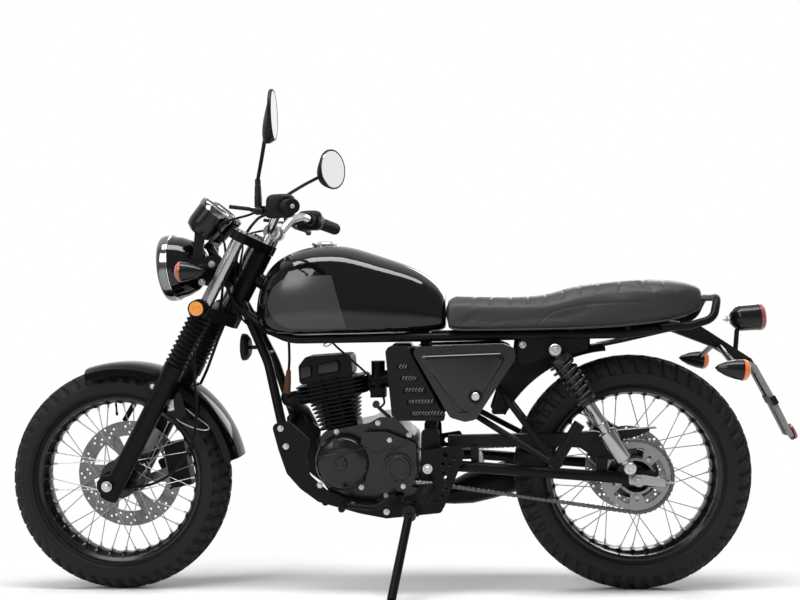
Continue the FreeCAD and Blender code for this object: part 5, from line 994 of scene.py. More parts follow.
# Instruments: two black drums with polished bezels and grey dials under flat glass; numberless marks ring
# each dial and a red needle rests at the low end.
drum_black = finish("drum_black", (0.0042, 0.0042, 0.0050), (0.20, 0.28), clouds=14.0, grain=700.0,
                    bump=0.00003, specular=0.30)
dress(drum_black, "gauges", "front_indicators", "rear_lights")
dial_grey = finish("dial_grey", (0.16, 0.16, 0.155), (0.35, 0.45), clouds=9.0, tint=0.03)
mark_white = finish("mark_white", (0.70, 0.70, 0.68), (0.35, 0.45), clouds=9.0, tint=0.03)
needle_red = finish("needle_red", (0.55, 0.03, 0.02), (0.30, 0.40), clouds=30.0)
GAUGE_AXIS = np.array([0.66, 0.0, 0.75]) / math.hypot(0.66, 0.75)
a, f, g = across(GAUGE_AXIS)
bezels, dials, marks, needles = [], [], [], []
for side in (-1, 1):
    foot = np.array([0.222, side * 0.050, 0.941])
    bezels.append(lathe([(0.0462, 0.0695), (0.0475, 0.0705), (0.0475, 0.0835), (0.0455, 0.0862),
                         (0.0420, 0.0862), (0.0405, 0.0835), (0.0405, 0.0815), (0.0462, 0.0790)], foot,
                        GAUGE_AXIS, 72, True))
    dials.append(lathe([(0.0001, 0.0822), (0.0408, 0.0822), (0.0408, 0.0812), (0.0001, 0.0812)], foot,
                       GAUGE_AXIS, 60))
    turn = np.linspace(math.radians(-225), math.radians(45), 25)[:, None]
    way = np.cos(turn) * f + np.sin(turn) * g
    face_at = foot + GAUGE_AXIS * 0.0824
    marks.append(rods(face_at + way * 0.0320, face_at + way * 0.0375, 0.0006, 5))
    needles.append(rods([face_at + GAUGE_AXIS * 0.0006], [face_at + GAUGE_AXIS * 0.0006 + way[2] * 0.030],
                        0.0010, 6, 0.4))
gauge_bezels = new_piece("gauge_bezels", *gathered(bezels), smoked_chrome, "steering")
gauge_dials = new_piece("gauge_dials", *gathered(dials), dial_grey, "steering")
gauge_marks = new_piece("gauge_marks", *gathered(marks), mark_white, "steering")
gauge_needles = new_piece("gauge_needles", *gathered(needles), needle_red, "steering")

# Direction lamps: black teardrop shells, each closed by an orange lens with a rounded rim; the front pair
# looks forward and the rear pair backward.
orange_lens = lens_paint("orange_lens", (0.78, 0.16, 0.020), 320.0, 0.0004)
deep_orange_lens = lens_paint("deep_orange_lens", (0.36, 0.075, 0.022), 320.0, 0.0004)
red_lens = lens_paint("red_lens", (0.26, 0.035, 0.030), 320.0, 0.0004)
front_glass = [lathe([(0.0001, 0.0152), (0.0160, 0.0135), (0.0225, 0.0090), (0.0252, 0.0045), (0.0257, -0.0005),
                      (0.0001, -0.0005)],
                     (0.216, side * 0.176, 0.838), (-1, 0, 0), 48) for side in (-1, 1)]
front_lenses = new_piece("front_indicator_lenses", *gathered(front_glass), deep_orange_lens, "steering")
rear_glass = [lathe([(0.0001, 0.0165), (0.0165, 0.0152), (0.0228, 0.0110), (0.0256, 0.0050), (0.0258, 0.0005),
                     (0.0001, 0.0005)],
                    (1.569, side * 0.185, 0.575), (1, 0, -0.1), 48) for side in (-1, 1)]
rear_lenses = new_piece("rear_indicator_lenses", *gathered(rear_glass), orange_lens, "chassis")
tail_axis = np.array([1, 0, 0.06])
tail_lens = new_piece("tail_lens", *lathe([(0.0001, 0.0765), (0.020, 0.0760), (0.0305, 0.0735),
                                           (0.0345, 0.0690), (0.0348, 0.0615), (0.0001, 0.0615)],
                                          (1.604, 0, 0.692), tail_axis, 56), red_lens, "chassis")
tail_bolt = new_piece("tail_bolt", *gathered([
    rods([(1.596, 0, 0.6915)], [(1.578, 0, 0.6905)], 0.0042, 12),
    rods([(1.590, 0, 0.6912)], [(1.584, 0, 0.6908)], 0.0085, 6)]), chrome, "chassis")

# Handlebar and hand controls: a bent bar in satin chrome, ribbed rubber grips with bright end screws, black
# switch housings and levers, a red stop switch on the right.
bar_steel = finish("bar_steel", (0.48, 0.48, 0.49), (0.16, 0.24), clouds=30.0, metallic=1.0, tint=0.06)
dress(bar_steel, "handlebar")
dress(trim_plastic, "hand_controls")
GRIP_TIP = fork_at(0.770, 0.0, 0.054) + [0.114, 0.345, 0.034]
GRIP_BEND = fork_at(0.770, 0.0, 0.054) + [0.052, 0.140, 0.054]
grip_way = (GRIP_TIP - GRIP_BEND) / np.linalg.norm(GRIP_TIP - GRIP_BEND)
GRIP_RIBS, RIB_STEP = 18, 0.0062
rib_line = [(0.0001, 0.0045), (0.0145, 0.0045), (0.0172, 0.0030)]
for k in range(GRIP_RIBS):
    rib_line += [(0.0178, -RIB_STEP * k - 0.001), (0.0178, -RIB_STEP * k - 0.0040),
                 (0.0168, -RIB_STEP * k - 0.0046), (0.0168, -RIB_STEP * k - 0.0056)]
rib_line += [(0.0165, -0.1140), (0.0001, -0.1140)]
mirror_y = np.array([1.0, -1.0, 1.0])
BOTH_SIDES = ((-1, mirror_y), (1, np.ones(3)))
grips, ends = [], []
for side, flip in BOTH_SIDES:
    tip, way = GRIP_TIP * flip, grip_way * flip
    grips.append(lathe(rib_line, tip, way, 32))
    ends.append(bolt_heads([tip + way * 0.0045], way, 0.0038, 0.003))
hand_grips = new_piece("hand_grips", *gathered(grips), moulded_rubber, "steering", sharp=60.0)
end_screws = new_piece("grip_end_screws", *gathered(ends), zinc_steel, "steering")


def pillow(centre, half, power=0.55, rows=18, columns=28):
    """A rounded block: half sizes times the signed powers of a ball's sines and cosines."""
    v = np.linspace(-math.pi / 2, math.pi / 2, rows)[:, None]
    u = np.linspace(0, 2 * math.pi, columns, endpoint=False)[None, :]
    bend = lambda w: np.sign(w) * np.abs(w) ** power
    points = np.stack([half[0] * bend(np.cos(v)) * bend(np.cos(u)), half[1] * bend(np.sin(v)) + 0 * u,
                       half[2] * bend(np.cos(v)) * bend(np.sin(u))], -1).reshape(-1, 3) + np.asarray(centre)
    return points, grid_faces(rows, columns, False, True)


housings = []
for side, flip in BOTH_SIDES:
    middle = (GRIP_TIP - grip_way * 0.141) * flip
    housings.append(pillow(middle + [-0.012, 0, 0.002], (0.036, 0.019, 0.029)))
    housings.append(pillow(middle + [-0.030, side * 0.002, -0.010], (0.020, 0.015, 0.018)))
    housings.append(pillow(middle + [-0.006, -side * 0.021, 0.006], (0.013, 0.008, 0.012)))
switch_housings = new_piece("switch_housings", *gathered(housings), trim_plastic, "steering", sharp=60.0)
switch_spot = GRIP_TIP - grip_way * 0.140
stop_switch = new_piece("stop_switch", *lathe([(0.0001, 0.0300), (0.0065, 0.0295), (0.0080, 0.0270),
                                               (0.0085, 0.0200), (0.0001, 0.0200)], switch_spot,
                                              (0.35, 0.0, 0.94), 24), needle_red, "steering")
perch = GRIP_TIP - grip_way * 0.172
adjusters = []
for side, flip in BOTH_SIDES:
    pivot = (perch + np.array([-0.0600, 0.0, -0.0072]) + grip_way * 0.008) * flip
    adjusters.append(lathe([(0.0001, 0.0), (0.0062, 0.0), (0.0068, -0.003), (0.0068, -0.013), (0.0045, -0.015),
                            (0.0045, -0.034), (0.0001, -0.034)], pivot + np.array([-0.012, 0, 0.002]),
                           (1.3, 0, -0.18), 20))
cable_adjusters = new_piece("cable_adjusters", *gathered(adjusters), chrome, "steering")

# Mirrors: round glass in black moulded shells that taper to bent stalks; a rubber sleeve covers each
# stalk's thread in the lever perch. The left glass looks back, the right one back and inward.
mirror_silver = finish("mirror_silver", (0.80, 0.80, 0.81), (0.01, 0.03), clouds=3.0, metallic=1.0, tint=0.01)
MIRROR_RADIUS = 0.059


def mirror_shell(spot, facing, apex):
    """A shell from the glass's rim to its neck: ring w is centred a share w^1.4 of the way from spot to apex,
    and its radius is R (0.86 sqrt(1 - w^2) + 0.14 (1 - w))."""
    a, f, g = across(facing)
    spot, apex = np.asarray(spot, float), np.asarray(apex, float)
    w = np.concatenate([[0.0], np.linspace(0.0, 0.985, 26)])[:, None, None]
    u = np.linspace(0, 2 * math.pi, 56, endpoint=False)[None, :, None]
    radius = MIRROR_RADIUS * (0.86 * np.sqrt(1 - w ** 2) + 0.14 * (1 - w))
    centre = spot + (apex - spot) * w ** 1.4
    points = centre + radius * (np.cos(u) * f + np.sin(u) * g)
    points[0] = spot + 0.90 * (points[0] - spot)
    faces = grid_faces(27, 56, False, True).tolist() + [list(range(56)), list(range(26 * 56, 27 * 56))]
    return points.reshape(-1, 3), faces


mirror_faces, mirror_shells = [], []
for spot, facing, apex, stalk in (
        ((0.480, -0.300, 1.194), (0.998, 0.066, 0.0), (0.4520, -0.292, 1.150),
         [(0.414, -0.182, 0.998), (0.414, -0.182, 1.056), (0.4165, -0.187, 1.066), (0.440, -0.245, 1.110),
          (0.4575, -0.288, 1.146), (0.462, -0.292, 1.158)]),
        ((0.532, 0.300, 1.150), (0.87, -0.5, 0.0), (0.4945, 0.302, 1.131),
         [(0.414, 0.182, 0.998), (0.414, 0.182, 1.056), (0.420, 0.187, 1.066), (0.455, 0.240, 1.098),
          (0.488, 0.296, 1.126), (0.504, 0.301, 1.134)])):
    mirror_faces.append(lathe([(0.0001, 0.0022), (0.0540, 0.0022), (0.0552, 0.0012), (0.0552, -0.0010),
                               (0.0001, -0.0010)],
                              spot, facing, 64))
    mirror_shells.append(mirror_shell(spot, facing, apex))
    mirror_shells.append(lathe([(0.0553, -0.0020), (0.0553, 0.0022), (0.0578, 0.0030), (0.0592, 0.0012),
                                (0.0592, -0.0040), (0.0575, -0.0060)], spot, facing, 64, True))
    mirror_shells.append(tube(smooth_line(stalk, 60), 0.0048, 14))
    foot = np.array(stalk[0])
    mirror_shells.append(lathe([(0.0001, 0.064), (0.0062, 0.064), (0.0074, 0.060), (0.0074, 0.046),
                                (0.0082, 0.044), (0.0088, 0.022), (0.0094, 0.020), (0.0094, -0.006),
                                (0.0090, -0.0125), (0.0001, -0.0125)],
                               foot, (0, 0, 1), 24))
mirror_glass = new_piece("mirror_glass", *gathered(mirror_faces), mirror_silver, "steering")
mirror_body = new_piece("mirror_shells", *gathered(mirror_shells), trim_plastic, "steering")
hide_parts("mirrors")

# Fuel tank: two steel pressings welded under a deep black lacquer. A graphite panel with a fine dark border
# is painted on each side, its lighter grey a painted reflection in the gloss; the plated filler cap screws in
# ahead of the middle.
tank_paint = bpy.data.materials.new("tank_paint")
tree, principled, output = shader_graph(tank_paint)


def math_node(operation, *inputs):
    """One sum of two numbers or sockets, in the tree at hand."""
    node = tree.nodes.new("ShaderNodeMath")
    node.operation = operation
    for index, value in enumerate(inputs):
        if isinstance(value, bpy.types.NodeSocket):
            tree.links.new(value, node.inputs[index])
        else:
            node.inputs[index].default_value = value
    return node.outputs[0]


# Outline of the painted reflection patch on each side of the tank: a rounded nose, a level foot and top, a
# slanted rear edge.
NOSE_CENTRE, NOSE_HALF = (0.497, 0.7555), (0.078, 0.0670)
REFLECTION_FOOT, REFLECTION_TOP = 0.6885, 0.8225
REFLECTION_END, REFLECTION_SLANT = 0.805, 0.267
BORDER = 0.0022
place = tree.nodes.new("ShaderNodeTexCoord")
apart = tree.nodes.new("ShaderNodeSeparateXYZ")
tree.links.new(place.outputs["Object"], apart.inputs[0])
height = math_node("SUBTRACT", math_node("MULTIPLY", apart.outputs[2], math.cos(LEAN)),
                   math_node("MULTIPLY", apart.outputs[1], math.sin(LEAN)))
offset = float(FRONT_AXLE[2] - (STANDING_AXLE[2] * math.cos(LEAN) - STANDING_AXLE[1] * math.sin(LEAN)))
height = math_node("ADD", height, offset)
reach = math_node("ADD", apart.outputs[0], float(FRONT_AXLE[0] - STANDING_AXLE[0]))
squares = [math_node("POWER", math_node("DIVIDE", math_node("SUBTRACT", value, centre), half), 2.0)
           for value, centre, half in zip((reach, height), NOSE_CENTRE, NOSE_HALF)]
nose = math_node("SQRT", math_node("ADD", *squares))
nose = math_node("MULTIPLY", math_node("SUBTRACT", 1.0, nose), 0.066)
nose = math_node("ADD", nose, math_node("GREATER_THAN", reach, NOSE_CENTRE[0]))
slanted = math_node("SUBTRACT", math_node("SUBTRACT", REFLECTION_END, math_node("MULTIPLY", height, REFLECTION_SLANT)),
                    reach)
level_part = math_node("MINIMUM", math_node("SUBTRACT", height, REFLECTION_FOOT),
                       math_node("SUBTRACT", REFLECTION_TOP, height))
reflection_patch_inside = math_node("MINIMUM", level_part, math_node("MINIMUM", slanted, nose))
# Mask of the painted reflection patch, soft over its first 0.8 mm.
panel = tree.nodes.new("ShaderNodeMapRange")
panel.inputs["From Min"].default_value = 0.0
panel.inputs["From Max"].default_value = 0.0008
tree.links.new(reflection_patch_inside, panel.inputs["Value"])
edge = math_node("MULTIPLY", math_node("GREATER_THAN", reflection_patch_inside, -BORDER), math_node("LESS_THAN", reflection_patch_inside, 0.0))
flake = tree.nodes.new("ShaderNodeTexNoise")
flake.inputs["Scale"].default_value = 1400.0
flake.inputs["Detail"].default_value = 2.0
tree.links.new(place.outputs["Object"], flake.inputs["Vector"])
# Painted reflection: the patch is a lighter grey than the lacquer and stands in for a lamp's reflection in the
# gloss.
painted_reflection_grey = tree.nodes.new("ShaderNodeMix")
painted_reflection_grey.data_type = "RGBA"
painted_reflection_grey.inputs[6].default_value = (0.022, 0.022, 0.023, 1.0)
painted_reflection_grey.inputs[7].default_value = (0.042, 0.042, 0.044, 1.0)
tree.links.new(flake.outputs[0], painted_reflection_grey.inputs[0])
coat_colour = tree.nodes.new("ShaderNodeMix")
coat_colour.data_type = "RGBA"
coat_colour.inputs[6].default_value = (0.0028, 0.0028, 0.0029, 1.0)
tree.links.new(panel.outputs[0], coat_colour.inputs[0])
tree.links.new(painted_reflection_grey.outputs[2], coat_colour.inputs[7])
lined = tree.nodes.new("ShaderNodeMix")
lined.data_type = "RGBA"
lined.inputs[7].default_value = (0.0012, 0.0012, 0.0012, 1.0)
tree.links.new(edge, lined.inputs[0])
tree.links.new(coat_colour.outputs[2], lined.inputs[6])
tree.links.new(lined.outputs[2], principled.inputs["Base Color"])
duller = math_node("MULTIPLY", panel.outputs[0], 0.16)
tree.links.new(math_node("ADD", duller, math_node("MULTIPLY", flake.outputs[0], 0.10)),
               principled.inputs["Roughness"])
principled.inputs["Specular IOR Level"].default_value = 0.38
dress(tank_paint, "fuel_tank")
filler = new_piece("filler_cap", *gathered([
    lathe([(0.0001, 0.0095), (0.0180, 0.0090), (0.0225, 0.0070), (0.0240, 0.0045), (0.0315, 0.0035),
           (0.0350, 0.0010), (0.0355, -0.0060), (0.0001, -0.0060)], (0.553, 0.0, 0.9055), (0, 0, 1), 64),
    rods([(0.520, -0.010, 0.9085)], [(0.520, 0.010, 0.9085)], 0.0038, 12)]), chrome, "chassis")

# Seat: one foam pad in grained vinyl over a steel pan, stepped up for the passenger. Seams are sewn across
# its top, an arched seam runs over each flank, and a welt closes its foot.
seat_vinyl = bpy.data.materials.new("seat_vinyl")
tree, principled, output = shader_graph(seat_vinyl)
place = tree.nodes.new("ShaderNodeTexCoord")
pores = tree.nodes.new("ShaderNodeTexVoronoi")
pores.inputs["Scale"].default_value = 620.0
folds = tree.nodes.new("ShaderNodeTexNoise")
folds.inputs["Scale"].default_value = 34.0
folds.inputs["Detail"].default_value = 5.0
tree.links.new(place.outputs["Object"], pores.inputs["Vector"])
tree.links.new(place.outputs["Object"], folds.inputs["Vector"])
fine = tree.nodes.new("ShaderNodeBump")
fine.inputs["Distance"].default_value = 0.00025
fine.inputs["Strength"].default_value = 0.7
tree.links.new(pores.outputs["Distance"], fine.inputs["Height"])
soft = tree.nodes.new("ShaderNodeBump")
soft.inputs["Distance"].default_value = 0.0006
soft.inputs["Strength"].default_value = 0.4
tree.links.new(folds.outputs[0], soft.inputs["Height"])
tree.links.new(fine.outputs[0], soft.inputs["Normal"])
tree.links.new(soft.outputs[0], principled.inputs["Normal"])
shade = tree.nodes.new("ShaderNodeMix")
shade.data_type = "RGBA"
shade.inputs[6].default_value = (0.014, 0.014, 0.0155, 1.0)
shade.inputs[7].default_value = (0.024, 0.024, 0.0265, 1.0)
tree.links.new(folds.outputs[0], shade.inputs[0])
tree.links.new(shade.outputs[2], principled.inputs["Base Color"])
sheen = tree.nodes.new("ShaderNodeMapRange")
sheen.inputs["To Min"].default_value = 0.42
sheen.inputs["To Max"].default_value = 0.60
tree.links.new(folds.outputs[0], sheen.inputs["Value"])
tree.links.new(sheen.outputs[0], principled.inputs["Roughness"])
principled.inputs["Specular IOR Level"].default_value = 0.35
SEAT_START, SEAT_LENGTH, SEAT_HALF = 0.870, 0.642, 0.126
SEAT_FOOT, SEAT_RISE = 0.675, 0.119
SEAT_PROFILE = np.array([(0.0, 0.80, 0.10, 0.66), (0.012, 0.90, 0.04, 0.72), (0.12, 0.96, 0.0, 0.70),
                         (0.28, 0.98, 0.0, 0.68), (0.40, 1.0, 0.0, 0.72), (0.52, 1.0, 0.0, 0.88),
                         (0.66, 0.99, 0.03, 0.97), (0.82, 0.96, 0.12, 1.0),
                         (0.92, 0.88, 0.22, 0.98), (0.985, 0.72, 0.34, 0.90), (1.0, 0.52, 0.44, 0.80)])
SEAT_SECTION = np.array([(0.0, 0.0), (0.6, 0.0), (0.93, 0.02), (1.0, 0.2), (0.99, 0.5), (0.93, 0.8),
                         (0.72, 0.95), (0.4, 1.0), (0.0, 1.0)])
STATIONS = 90
SHRINK = 0.0035
CELL = 0.005
CLOTH_STEPS = 20
MOST_SWELL = 0.006
SEAM_DEPTH, SEAM_WIDTH = 0.0022, 0.0034
ARCH_DEPTH, ARCH_WIDTH = 0.0013, 0.0026
stations = smooth_line(SEAT_PROFILE, STATIONS)
half_ring = smooth_line(SEAT_SECTION, 34)
ring = np.vstack([half_ring, half_ring[-2:0:-1] * [-1, 1]])
width = SEAT_HALF * stations[:, 1:2] - SHRINK
low = SEAT_FOOT + SEAT_RISE * stations[:, 2:3] + SHRINK * 0.5
high = SEAT_FOOT + SEAT_RISE * stations[:, 3:4] - SHRINK
points = np.stack([SEAT_START + SHRINK + (SEAT_LENGTH - 2 * SHRINK) * stations[:, :1] + 0 * ring[None, :, 0],
                   width * ring[None, :, 0], low + (high - low) * ring[None, :, 1]], -1).reshape(-1, 3)
faces = grid_faces(STATIONS, len(ring), False, True).tolist()
faces += [list(range(len(ring))), list(range((STATIONS - 1) * len(ring), STATIONS * len(ring)))]
seat_pad = new_piece("seat_pad", points, faces, seat_vinyl, "chassis", sharp=180.0)


def coordinates(mesh):
    """A mesh's points as an array."""
    values = np.empty(len(mesh.vertices) * 3)
    mesh.vertices.foreach_get("co", values)
    return values.reshape(-1, 3)


def upright_again(points):
    """Standing points back to the upright machine, the reverse of stood()."""
    v = np.asarray(points, float).reshape(-1, 3) - STANDING_AXLE
    c, s = math.cos(LEAN), math.sin(LEAN)
    return np.column_stack([v[:, 0], v[:, 1] * c + v[:, 2] * s, -v[:, 1] * s + v[:, 2] * c]) + FRONT_AXLE


def baked(piece):
    """The piece's mesh as its modifiers leave it, put in place of its own."""
    made = bpy.data.meshes.new_from_object(piece.evaluated_get(bpy.context.evaluated_depsgraph_get()))
    piece.modifiers.clear()
    piece.data = made
    return made


remesh = seat_pad.modifiers.new("even_cells", "REMESH")
remesh.mode = "VOXEL"
remesh.voxel_size = CELL
remesh.use_smooth_shade = True
mesh = baked(seat_pad)
before = coordinates(mesh)
upright_points = upright_again(before)
pan = seat_pad.vertex_groups.new(name="pan")
foot_line = np.interp(upright_points[:, 0], SEAT_START + SEAT_LENGTH * SEAT_PROFILE[:, 0],
                      SEAT_FOOT + SEAT_RISE * SEAT_PROFILE[:, 2])
pan.add(np.flatnonzero(upright_points[:, 2] < foot_line + 0.010).tolist(), 1.0, "REPLACE")
cloth = seat_pad.modifiers.new("foam_pressure", "CLOTH")
cloth.settings.use_pressure = True
cloth.settings.uniform_pressure_force = 4.0
cloth.settings.effector_weights.gravity = 0.0
cloth.settings.vertex_group_mass = "pan"
cloth.settings.tension_stiffness = 25.0
cloth.settings.compression_stiffness = 25.0
cloth.settings.bending_stiffness = 4.0
cloth.settings.quality = 4
for step in range(1, CLOTH_STEPS + 1):
    bpy.context.scene.frame_set(step)
swollen = coordinates(seat_pad.evaluated_get(bpy.context.evaluated_depsgraph_get()).data)
seat_pad.modifiers.clear()
seat_pad.vertex_groups.clear()
move = swollen - before
far = np.linalg.norm(move, axis=1, keepdims=True)
after = before + move * np.minimum(1.0, MOST_SWELL / np.maximum(far, 1e-9))
mesh.vertices.foreach_set("co", after.ravel())
bpy.context.scene.frame_set(1)
subdivide = seat_pad.modifiers.new("finer", "SUBSURF")
subdivide.levels = subdivide.render_levels = 1
mesh = baked(seat_pad)
p = upright_again(coordinates(mesh))
normal = np.empty(len(mesh.vertices) * 3)
mesh.vertices.foreach_get("normal", normal)
normal = normal.reshape(-1, 3)
SEAMS_ACROSS = (0.937, 0.982, 1.030, 1.0735, 1.117, 1.160, 1.202, 1.249, 1.301, 1.360, 1.411)
top_line = np.interp(p[:, 0], SEAT_START + SEAT_LENGTH * SEAT_PROFILE[:, 0],
                     SEAT_FOOT + SEAT_RISE * SEAT_PROFILE[:, 3])
on_top = np.clip((p[:, 2] - top_line + 0.024) / 0.008, 0, 1) * np.clip((0.106 - np.abs(p[:, 1])) / 0.006, 0, 1)
sunk = np.zeros(len(p))
for seam_x in SEAMS_ACROSS:
    bow = p[:, 0] - seam_x - 0.010 * (1 - (p[:, 1] / 0.10) ** 2)
    sunk = np.maximum(sunk, SEAM_DEPTH * np.exp(-(bow / SEAM_WIDTH) ** 2) * on_top)
ARCH = np.array([(1.083, 0.673), (1.100, 0.694), (1.126, 0.7165), (1.165, 0.729), (1.224, 0.7375),
                 (1.290, 0.7405), (1.346, 0.7395), (1.385, 0.732), (1.4055, 0.7235), (1.432, 0.6985)])
arch_height = np.interp(p[:, 0], ARCH[:, 0], ARCH[:, 1])
on_flank = np.clip((np.abs(p[:, 1]) - 0.085) / 0.01, 0, 1) * (p[:, 0] > 1.084) * (p[:, 0] < 1.431)
sunk = np.maximum(sunk, ARCH_DEPTH * np.exp(-((p[:, 2] - arch_height) / ARCH_WIDTH) ** 2) * on_flank)
standing = coordinates(mesh) - normal * sunk[:, None]
mesh.vertices.foreach_set("co", standing.ravel())
mesh.update()
mesh.shade_smooth()
mesh.materials.clear()
mesh.materials.append(seat_vinyl)
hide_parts("seat")
welt = new_piece("seat_welt", *gathered([
    tube(smooth_line([(0.878, side * 0.104, 0.6860), (0.895, side * 0.1165, 0.6800),
                      (0.960, side * 0.1205, 0.6785), (1.060, side * 0.1235, 0.6780),
                      (1.200, side * 0.1250, 0.6790), (1.300, side * 0.1240, 0.6830),
                      (1.400, side * 0.1195, 0.6925), (1.455, side * 0.1125, 0.7030)], 80), 0.0024, 8)
    for side in (-1, 1)]), seat_vinyl, "chassis")

# Rear dampers: black coil springs over chrome bodies, each with an eye at either end bolted through a
# rubber bush, and a plated sleeve round the lower body.
SHOCK_TOP = np.array([1.135, 0.128, 0.627])
SHOCK_FOOT = np.array([1.311, 0.128, 0.334])
COIL_TURNS, COIL_RADIUS, COIL_WIRE = 7, 0.0232, 0.0043
spring_black = finish("spring_black", (0.0070, 0.0070, 0.0075), (0.22, 0.32), clouds=30.0, grain=700.0,
                      specular=0.4)
worn_chrome = finish("worn_chrome", (0.36, 0.36, 0.37), (0.12, 0.20), clouds=26.0, metallic=1.0, tint=0.12)
reach = np.linalg.norm(SHOCK_FOOT - SHOCK_TOP)
black_parts, bright_parts, bolts = [], [], []
for side, flip in BOTH_SIDES:
    top, foot = SHOCK_TOP * flip, SHOCK_FOOT * flip
    axis = (foot - top) / reach
    a, f, g = across(axis)
    turns = np.linspace(0, COIL_TURNS * 2 * math.pi, COIL_TURNS * 28)
    rise = np.interp(turns / (2 * math.pi), [0, 0.6, COIL_TURNS - 0.6, COIL_TURNS],
                     [0.031, 0.036, 0.133, 0.137])
    coil = top + rise[:, None] * axis + COIL_RADIUS * (np.cos(turns)[:, None] * f + np.sin(turns)[:, None] * g)
    black_parts.append(tube(coil, COIL_WIRE, 9, axis))
    black_parts.append(lathe([(0.0001, 0.008), (0.0115, 0.008), (0.0115, 0.020), (0.0270, 0.022),
                              (0.0275, 0.030), (0.0150, 0.0315), (0.0150, 0.1370), (0.0001, 0.1370)], top, axis,
                             40))
    black_parts.append(lathe([(0.0001, 0.1365), (0.0265, 0.1365), (0.0270, 0.1440), (0.0220, 0.1480),
                              (0.0220, 0.1560), (0.0180, 0.1570), (0.0001, 0.1570)], top, axis, 40))
    bright_parts.append(lathe([(0.0001, 0.1380), (0.0130, 0.1380), (0.0130, 0.150), (0.0135, 0.152),
                               (0.0135, 0.2120), (0.0160, 0.2135), (0.0160, 0.2180), (0.0135, 0.2195),
                               (0.0135, reach - 0.106), (0.0215, reach - 0.104), (0.0220, reach - 0.101),
                               (0.0220, reach - 0.030), (0.0205, reach - 0.026), (0.0110, reach - 0.022),
                               (0.0110, reach - 0.006), (0.0001, reach - 0.006)], top, axis, 48))
    for spot in (top, foot):
        bright_parts.append(lathe([(0.0075, -0.0115), (0.0150, -0.0115), (0.0160, -0.0100), (0.0160, 0.0100),
                                   (0.0150, 0.0115), (0.0075, 0.0115)], spot, (0, 1, 0), 40, True))
        bolts.append(lathe([(0.0001, 0.0175), (0.0060, 0.0175), (0.0068, 0.0160), (0.0125, 0.0155),
                            (0.0140, 0.0140), (0.0140, 0.0110), (0.0001, 0.0110)], spot, (0, side, 0), 32))
shock_springs = new_piece("shock_springs", *gathered(black_parts), spring_black, "chassis", sharp=45.0)
shock_bodies = new_piece("shock_bodies", *gathered(bright_parts), worn_chrome, "chassis")
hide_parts("rear_shocks")
shock_bolts = new_piece("shock_bolts", *gathered(bolts), zinc_steel, "chassis")

# Rear axle: a nut on each end, a flat puller plate behind it, and the long puller screw that sets the
# chain's slack.
puller = round_corners([(1.311, 0.316), (1.345, 0.315), (1.404, 0.303), (1.404, 0.281), (1.345, 0.288),
                        (1.311, 0.288)], 0.007)
puller_parts = []
for side in (-1, 1):
    points, faces = crowned_panel(puller, -0.1075, 0.0040, 0.06, 4)
    points[:, 1] *= -side
    puller_parts.append((points, faces))
    puller_parts.append(bolt_heads([(1.3335, side * 0.1265, 0.3015)], (0, side, 0), 0.0105, 0.007))
    puller_parts.append(rods([(1.372, side * 0.0995, 0.2945)], [(1.425, side * 0.0995, 0.2900)], 0.0032, 10))
    puller_parts.append(rods([(1.406, side * 0.0995, 0.2917)], [(1.412, side * 0.0995, 0.2911)], 0.0065, 6))
axle_pullers = new_piece("axle_pullers", *gathered(puller_parts), spoke_steel, "chassis")

# Tail: a black mudguard and arm, a slim grey carrier strip for the plate with its black clamp, and a round
# red reflector at its foot.
dress(trim_plastic, "rear_fender", "tail_bracket")
carrier_grey = finish("carrier_grey", (0.20, 0.20, 0.197), (0.42, 0.52), clouds=30.0, tint=0.1)
carrier_line = np.array([(1.6338, 0.5842), (1.6500, 0.5745), (1.6964, 0.4862), (1.7394, 0.3942),
                         (1.7310, 0.3895), (1.6876, 0.4797), (1.6438, 0.5656), (1.6278, 0.5757)])
carrier_strips = cut_plate("carrier_rails", carrier_line, [], -0.0294, -0.0102, (0, 0, 0), carrier_grey,
                           "chassis")
other_rail = cut_plate("carrier_rail_right", carrier_line, [], 0.0102, 0.0294, (0, 0, 0), carrier_grey,
                       "chassis")
foot_lens = new_piece("foot_reflector", *lathe([(0.0001, 0.0150), (0.012, 0.0148), (0.0195, 0.0142),
                                                (0.0215, 0.0125), (0.0215, 0.0080), (0.0001, 0.0080)],
                                               (1.735, 0, 0.398), (0.9060, 0.0, 0.4233), 40), red_lens,
                      "chassis")

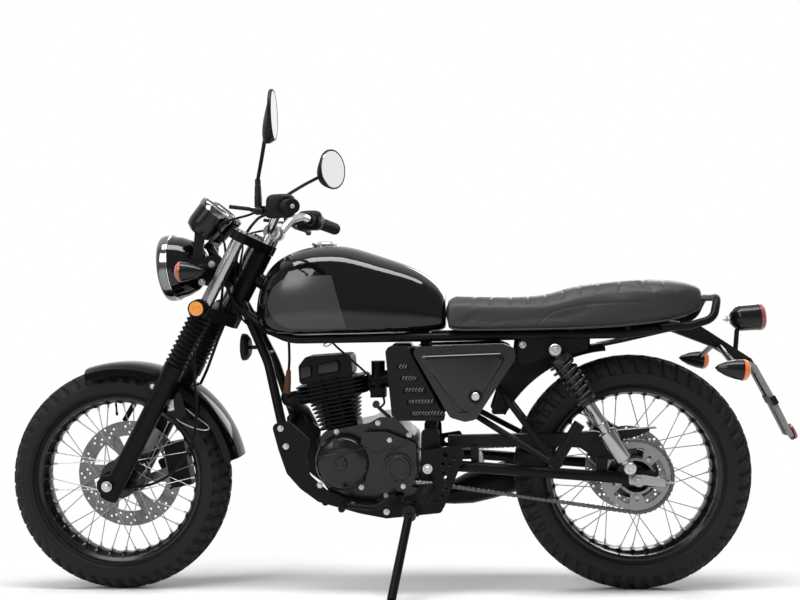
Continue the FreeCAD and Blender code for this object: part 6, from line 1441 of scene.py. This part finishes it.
# Foot pegs: the rider's pegs are steel pins on the frame plates. A moulded rubber sleeve with cast grip
# rings slides over each.
PEG_RINGS, RING_STEP = 9, 0.011
sleeve = [(0.0001, 0.104), (0.0125, 0.104), (0.0150, 0.101)]
for k in range(PEG_RINGS):
    sleeve += [(0.0152, 0.098 - RING_STEP * k), (0.0152, 0.092 - RING_STEP * k),
               (0.0138, 0.0905 - RING_STEP * k), (0.0138, 0.0885 - RING_STEP * k)]
sleeve += [(0.0145, 0.0), (0.0001, 0.0)]
pegs = [lathe(sleeve, (0.8176, side * 0.134, 0.2827), (-0.08, side, 0.013), 28) for side in (-1, 1)]
peg_rubbers = new_piece("peg_rubbers", *gathered(pegs), moulded_rubber, "chassis")

# Stand spring: a close-wound steel coil between the frame and the stand. One hexagon bolt holds the left
# side of the seat rail, and the brake and speedometer lines take their black rubber here.
dress(cable_black, "front_lines")
SPRING_TURNS = 13
turns = np.linspace(0, SPRING_TURNS * 2 * math.pi, SPRING_TURNS * 14)
spring_line = np.array([0.786, -0.1035, 0.2975]) + (turns / turns[-1])[:, None] * np.array([0.044, 0.0, -0.003])
spring_line = spring_line + 0.0052 * np.column_stack([0 * turns, np.cos(turns), np.sin(turns)])
stand_spring = new_piece("stand_spring", *gathered([tube(spring_line, 0.0011, 6, (1, 0, 0)),
                                                   bolt_heads([(1.0589, -0.099, 0.6382)], OUT, 0.0062, 0.006)]),
                         worn_chrome, "chassis", sharp=60.0)

# Control cables and wiring loom: black sheathed lines run from the levers and the headlamp past the
# steering head to the frame.
left_lever = (perch + np.array([-0.062, 0.0, -0.007])) * mirror_y
right_lever = perch + np.array([-0.050, 0.0, -0.012])
for name, line in (
        ("left_control_cable", [left_lever, left_lever + [-0.028, 0.006, -0.010], (0.306, -0.135, 0.955),
                                (0.304, -0.090, 0.905), (0.300, -0.062, 0.840), (0.304, -0.050, 0.780),
                                (0.334, -0.042, 0.715), (0.385, -0.030, 0.680), (0.450, -0.024, 0.668)]),
        ("right_control_cable", [right_lever, right_lever + [-0.030, -0.006, -0.010], (0.310, 0.130, 0.948),
                                 (0.306, 0.088, 0.900), (0.302, 0.062, 0.835), (0.308, 0.050, 0.775),
                                 (0.342, 0.042, 0.712), (0.392, 0.030, 0.680), (0.455, 0.024, 0.668)]),
        ("wiring_loom", [(0.226, -0.020, 0.850), (0.246, -0.030, 0.868), (0.272, -0.052, 0.868),
                         (0.290, -0.058, 0.828), (0.306, -0.052, 0.780), (0.330, -0.046, 0.738),
                         (0.372, -0.034, 0.700), (0.430, -0.026, 0.676)])):
    cable = wire(name, line, 0.0046 if name == "wiring_loom" else 0.0030, cable_black, None, 90, 10)
    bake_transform(cable)
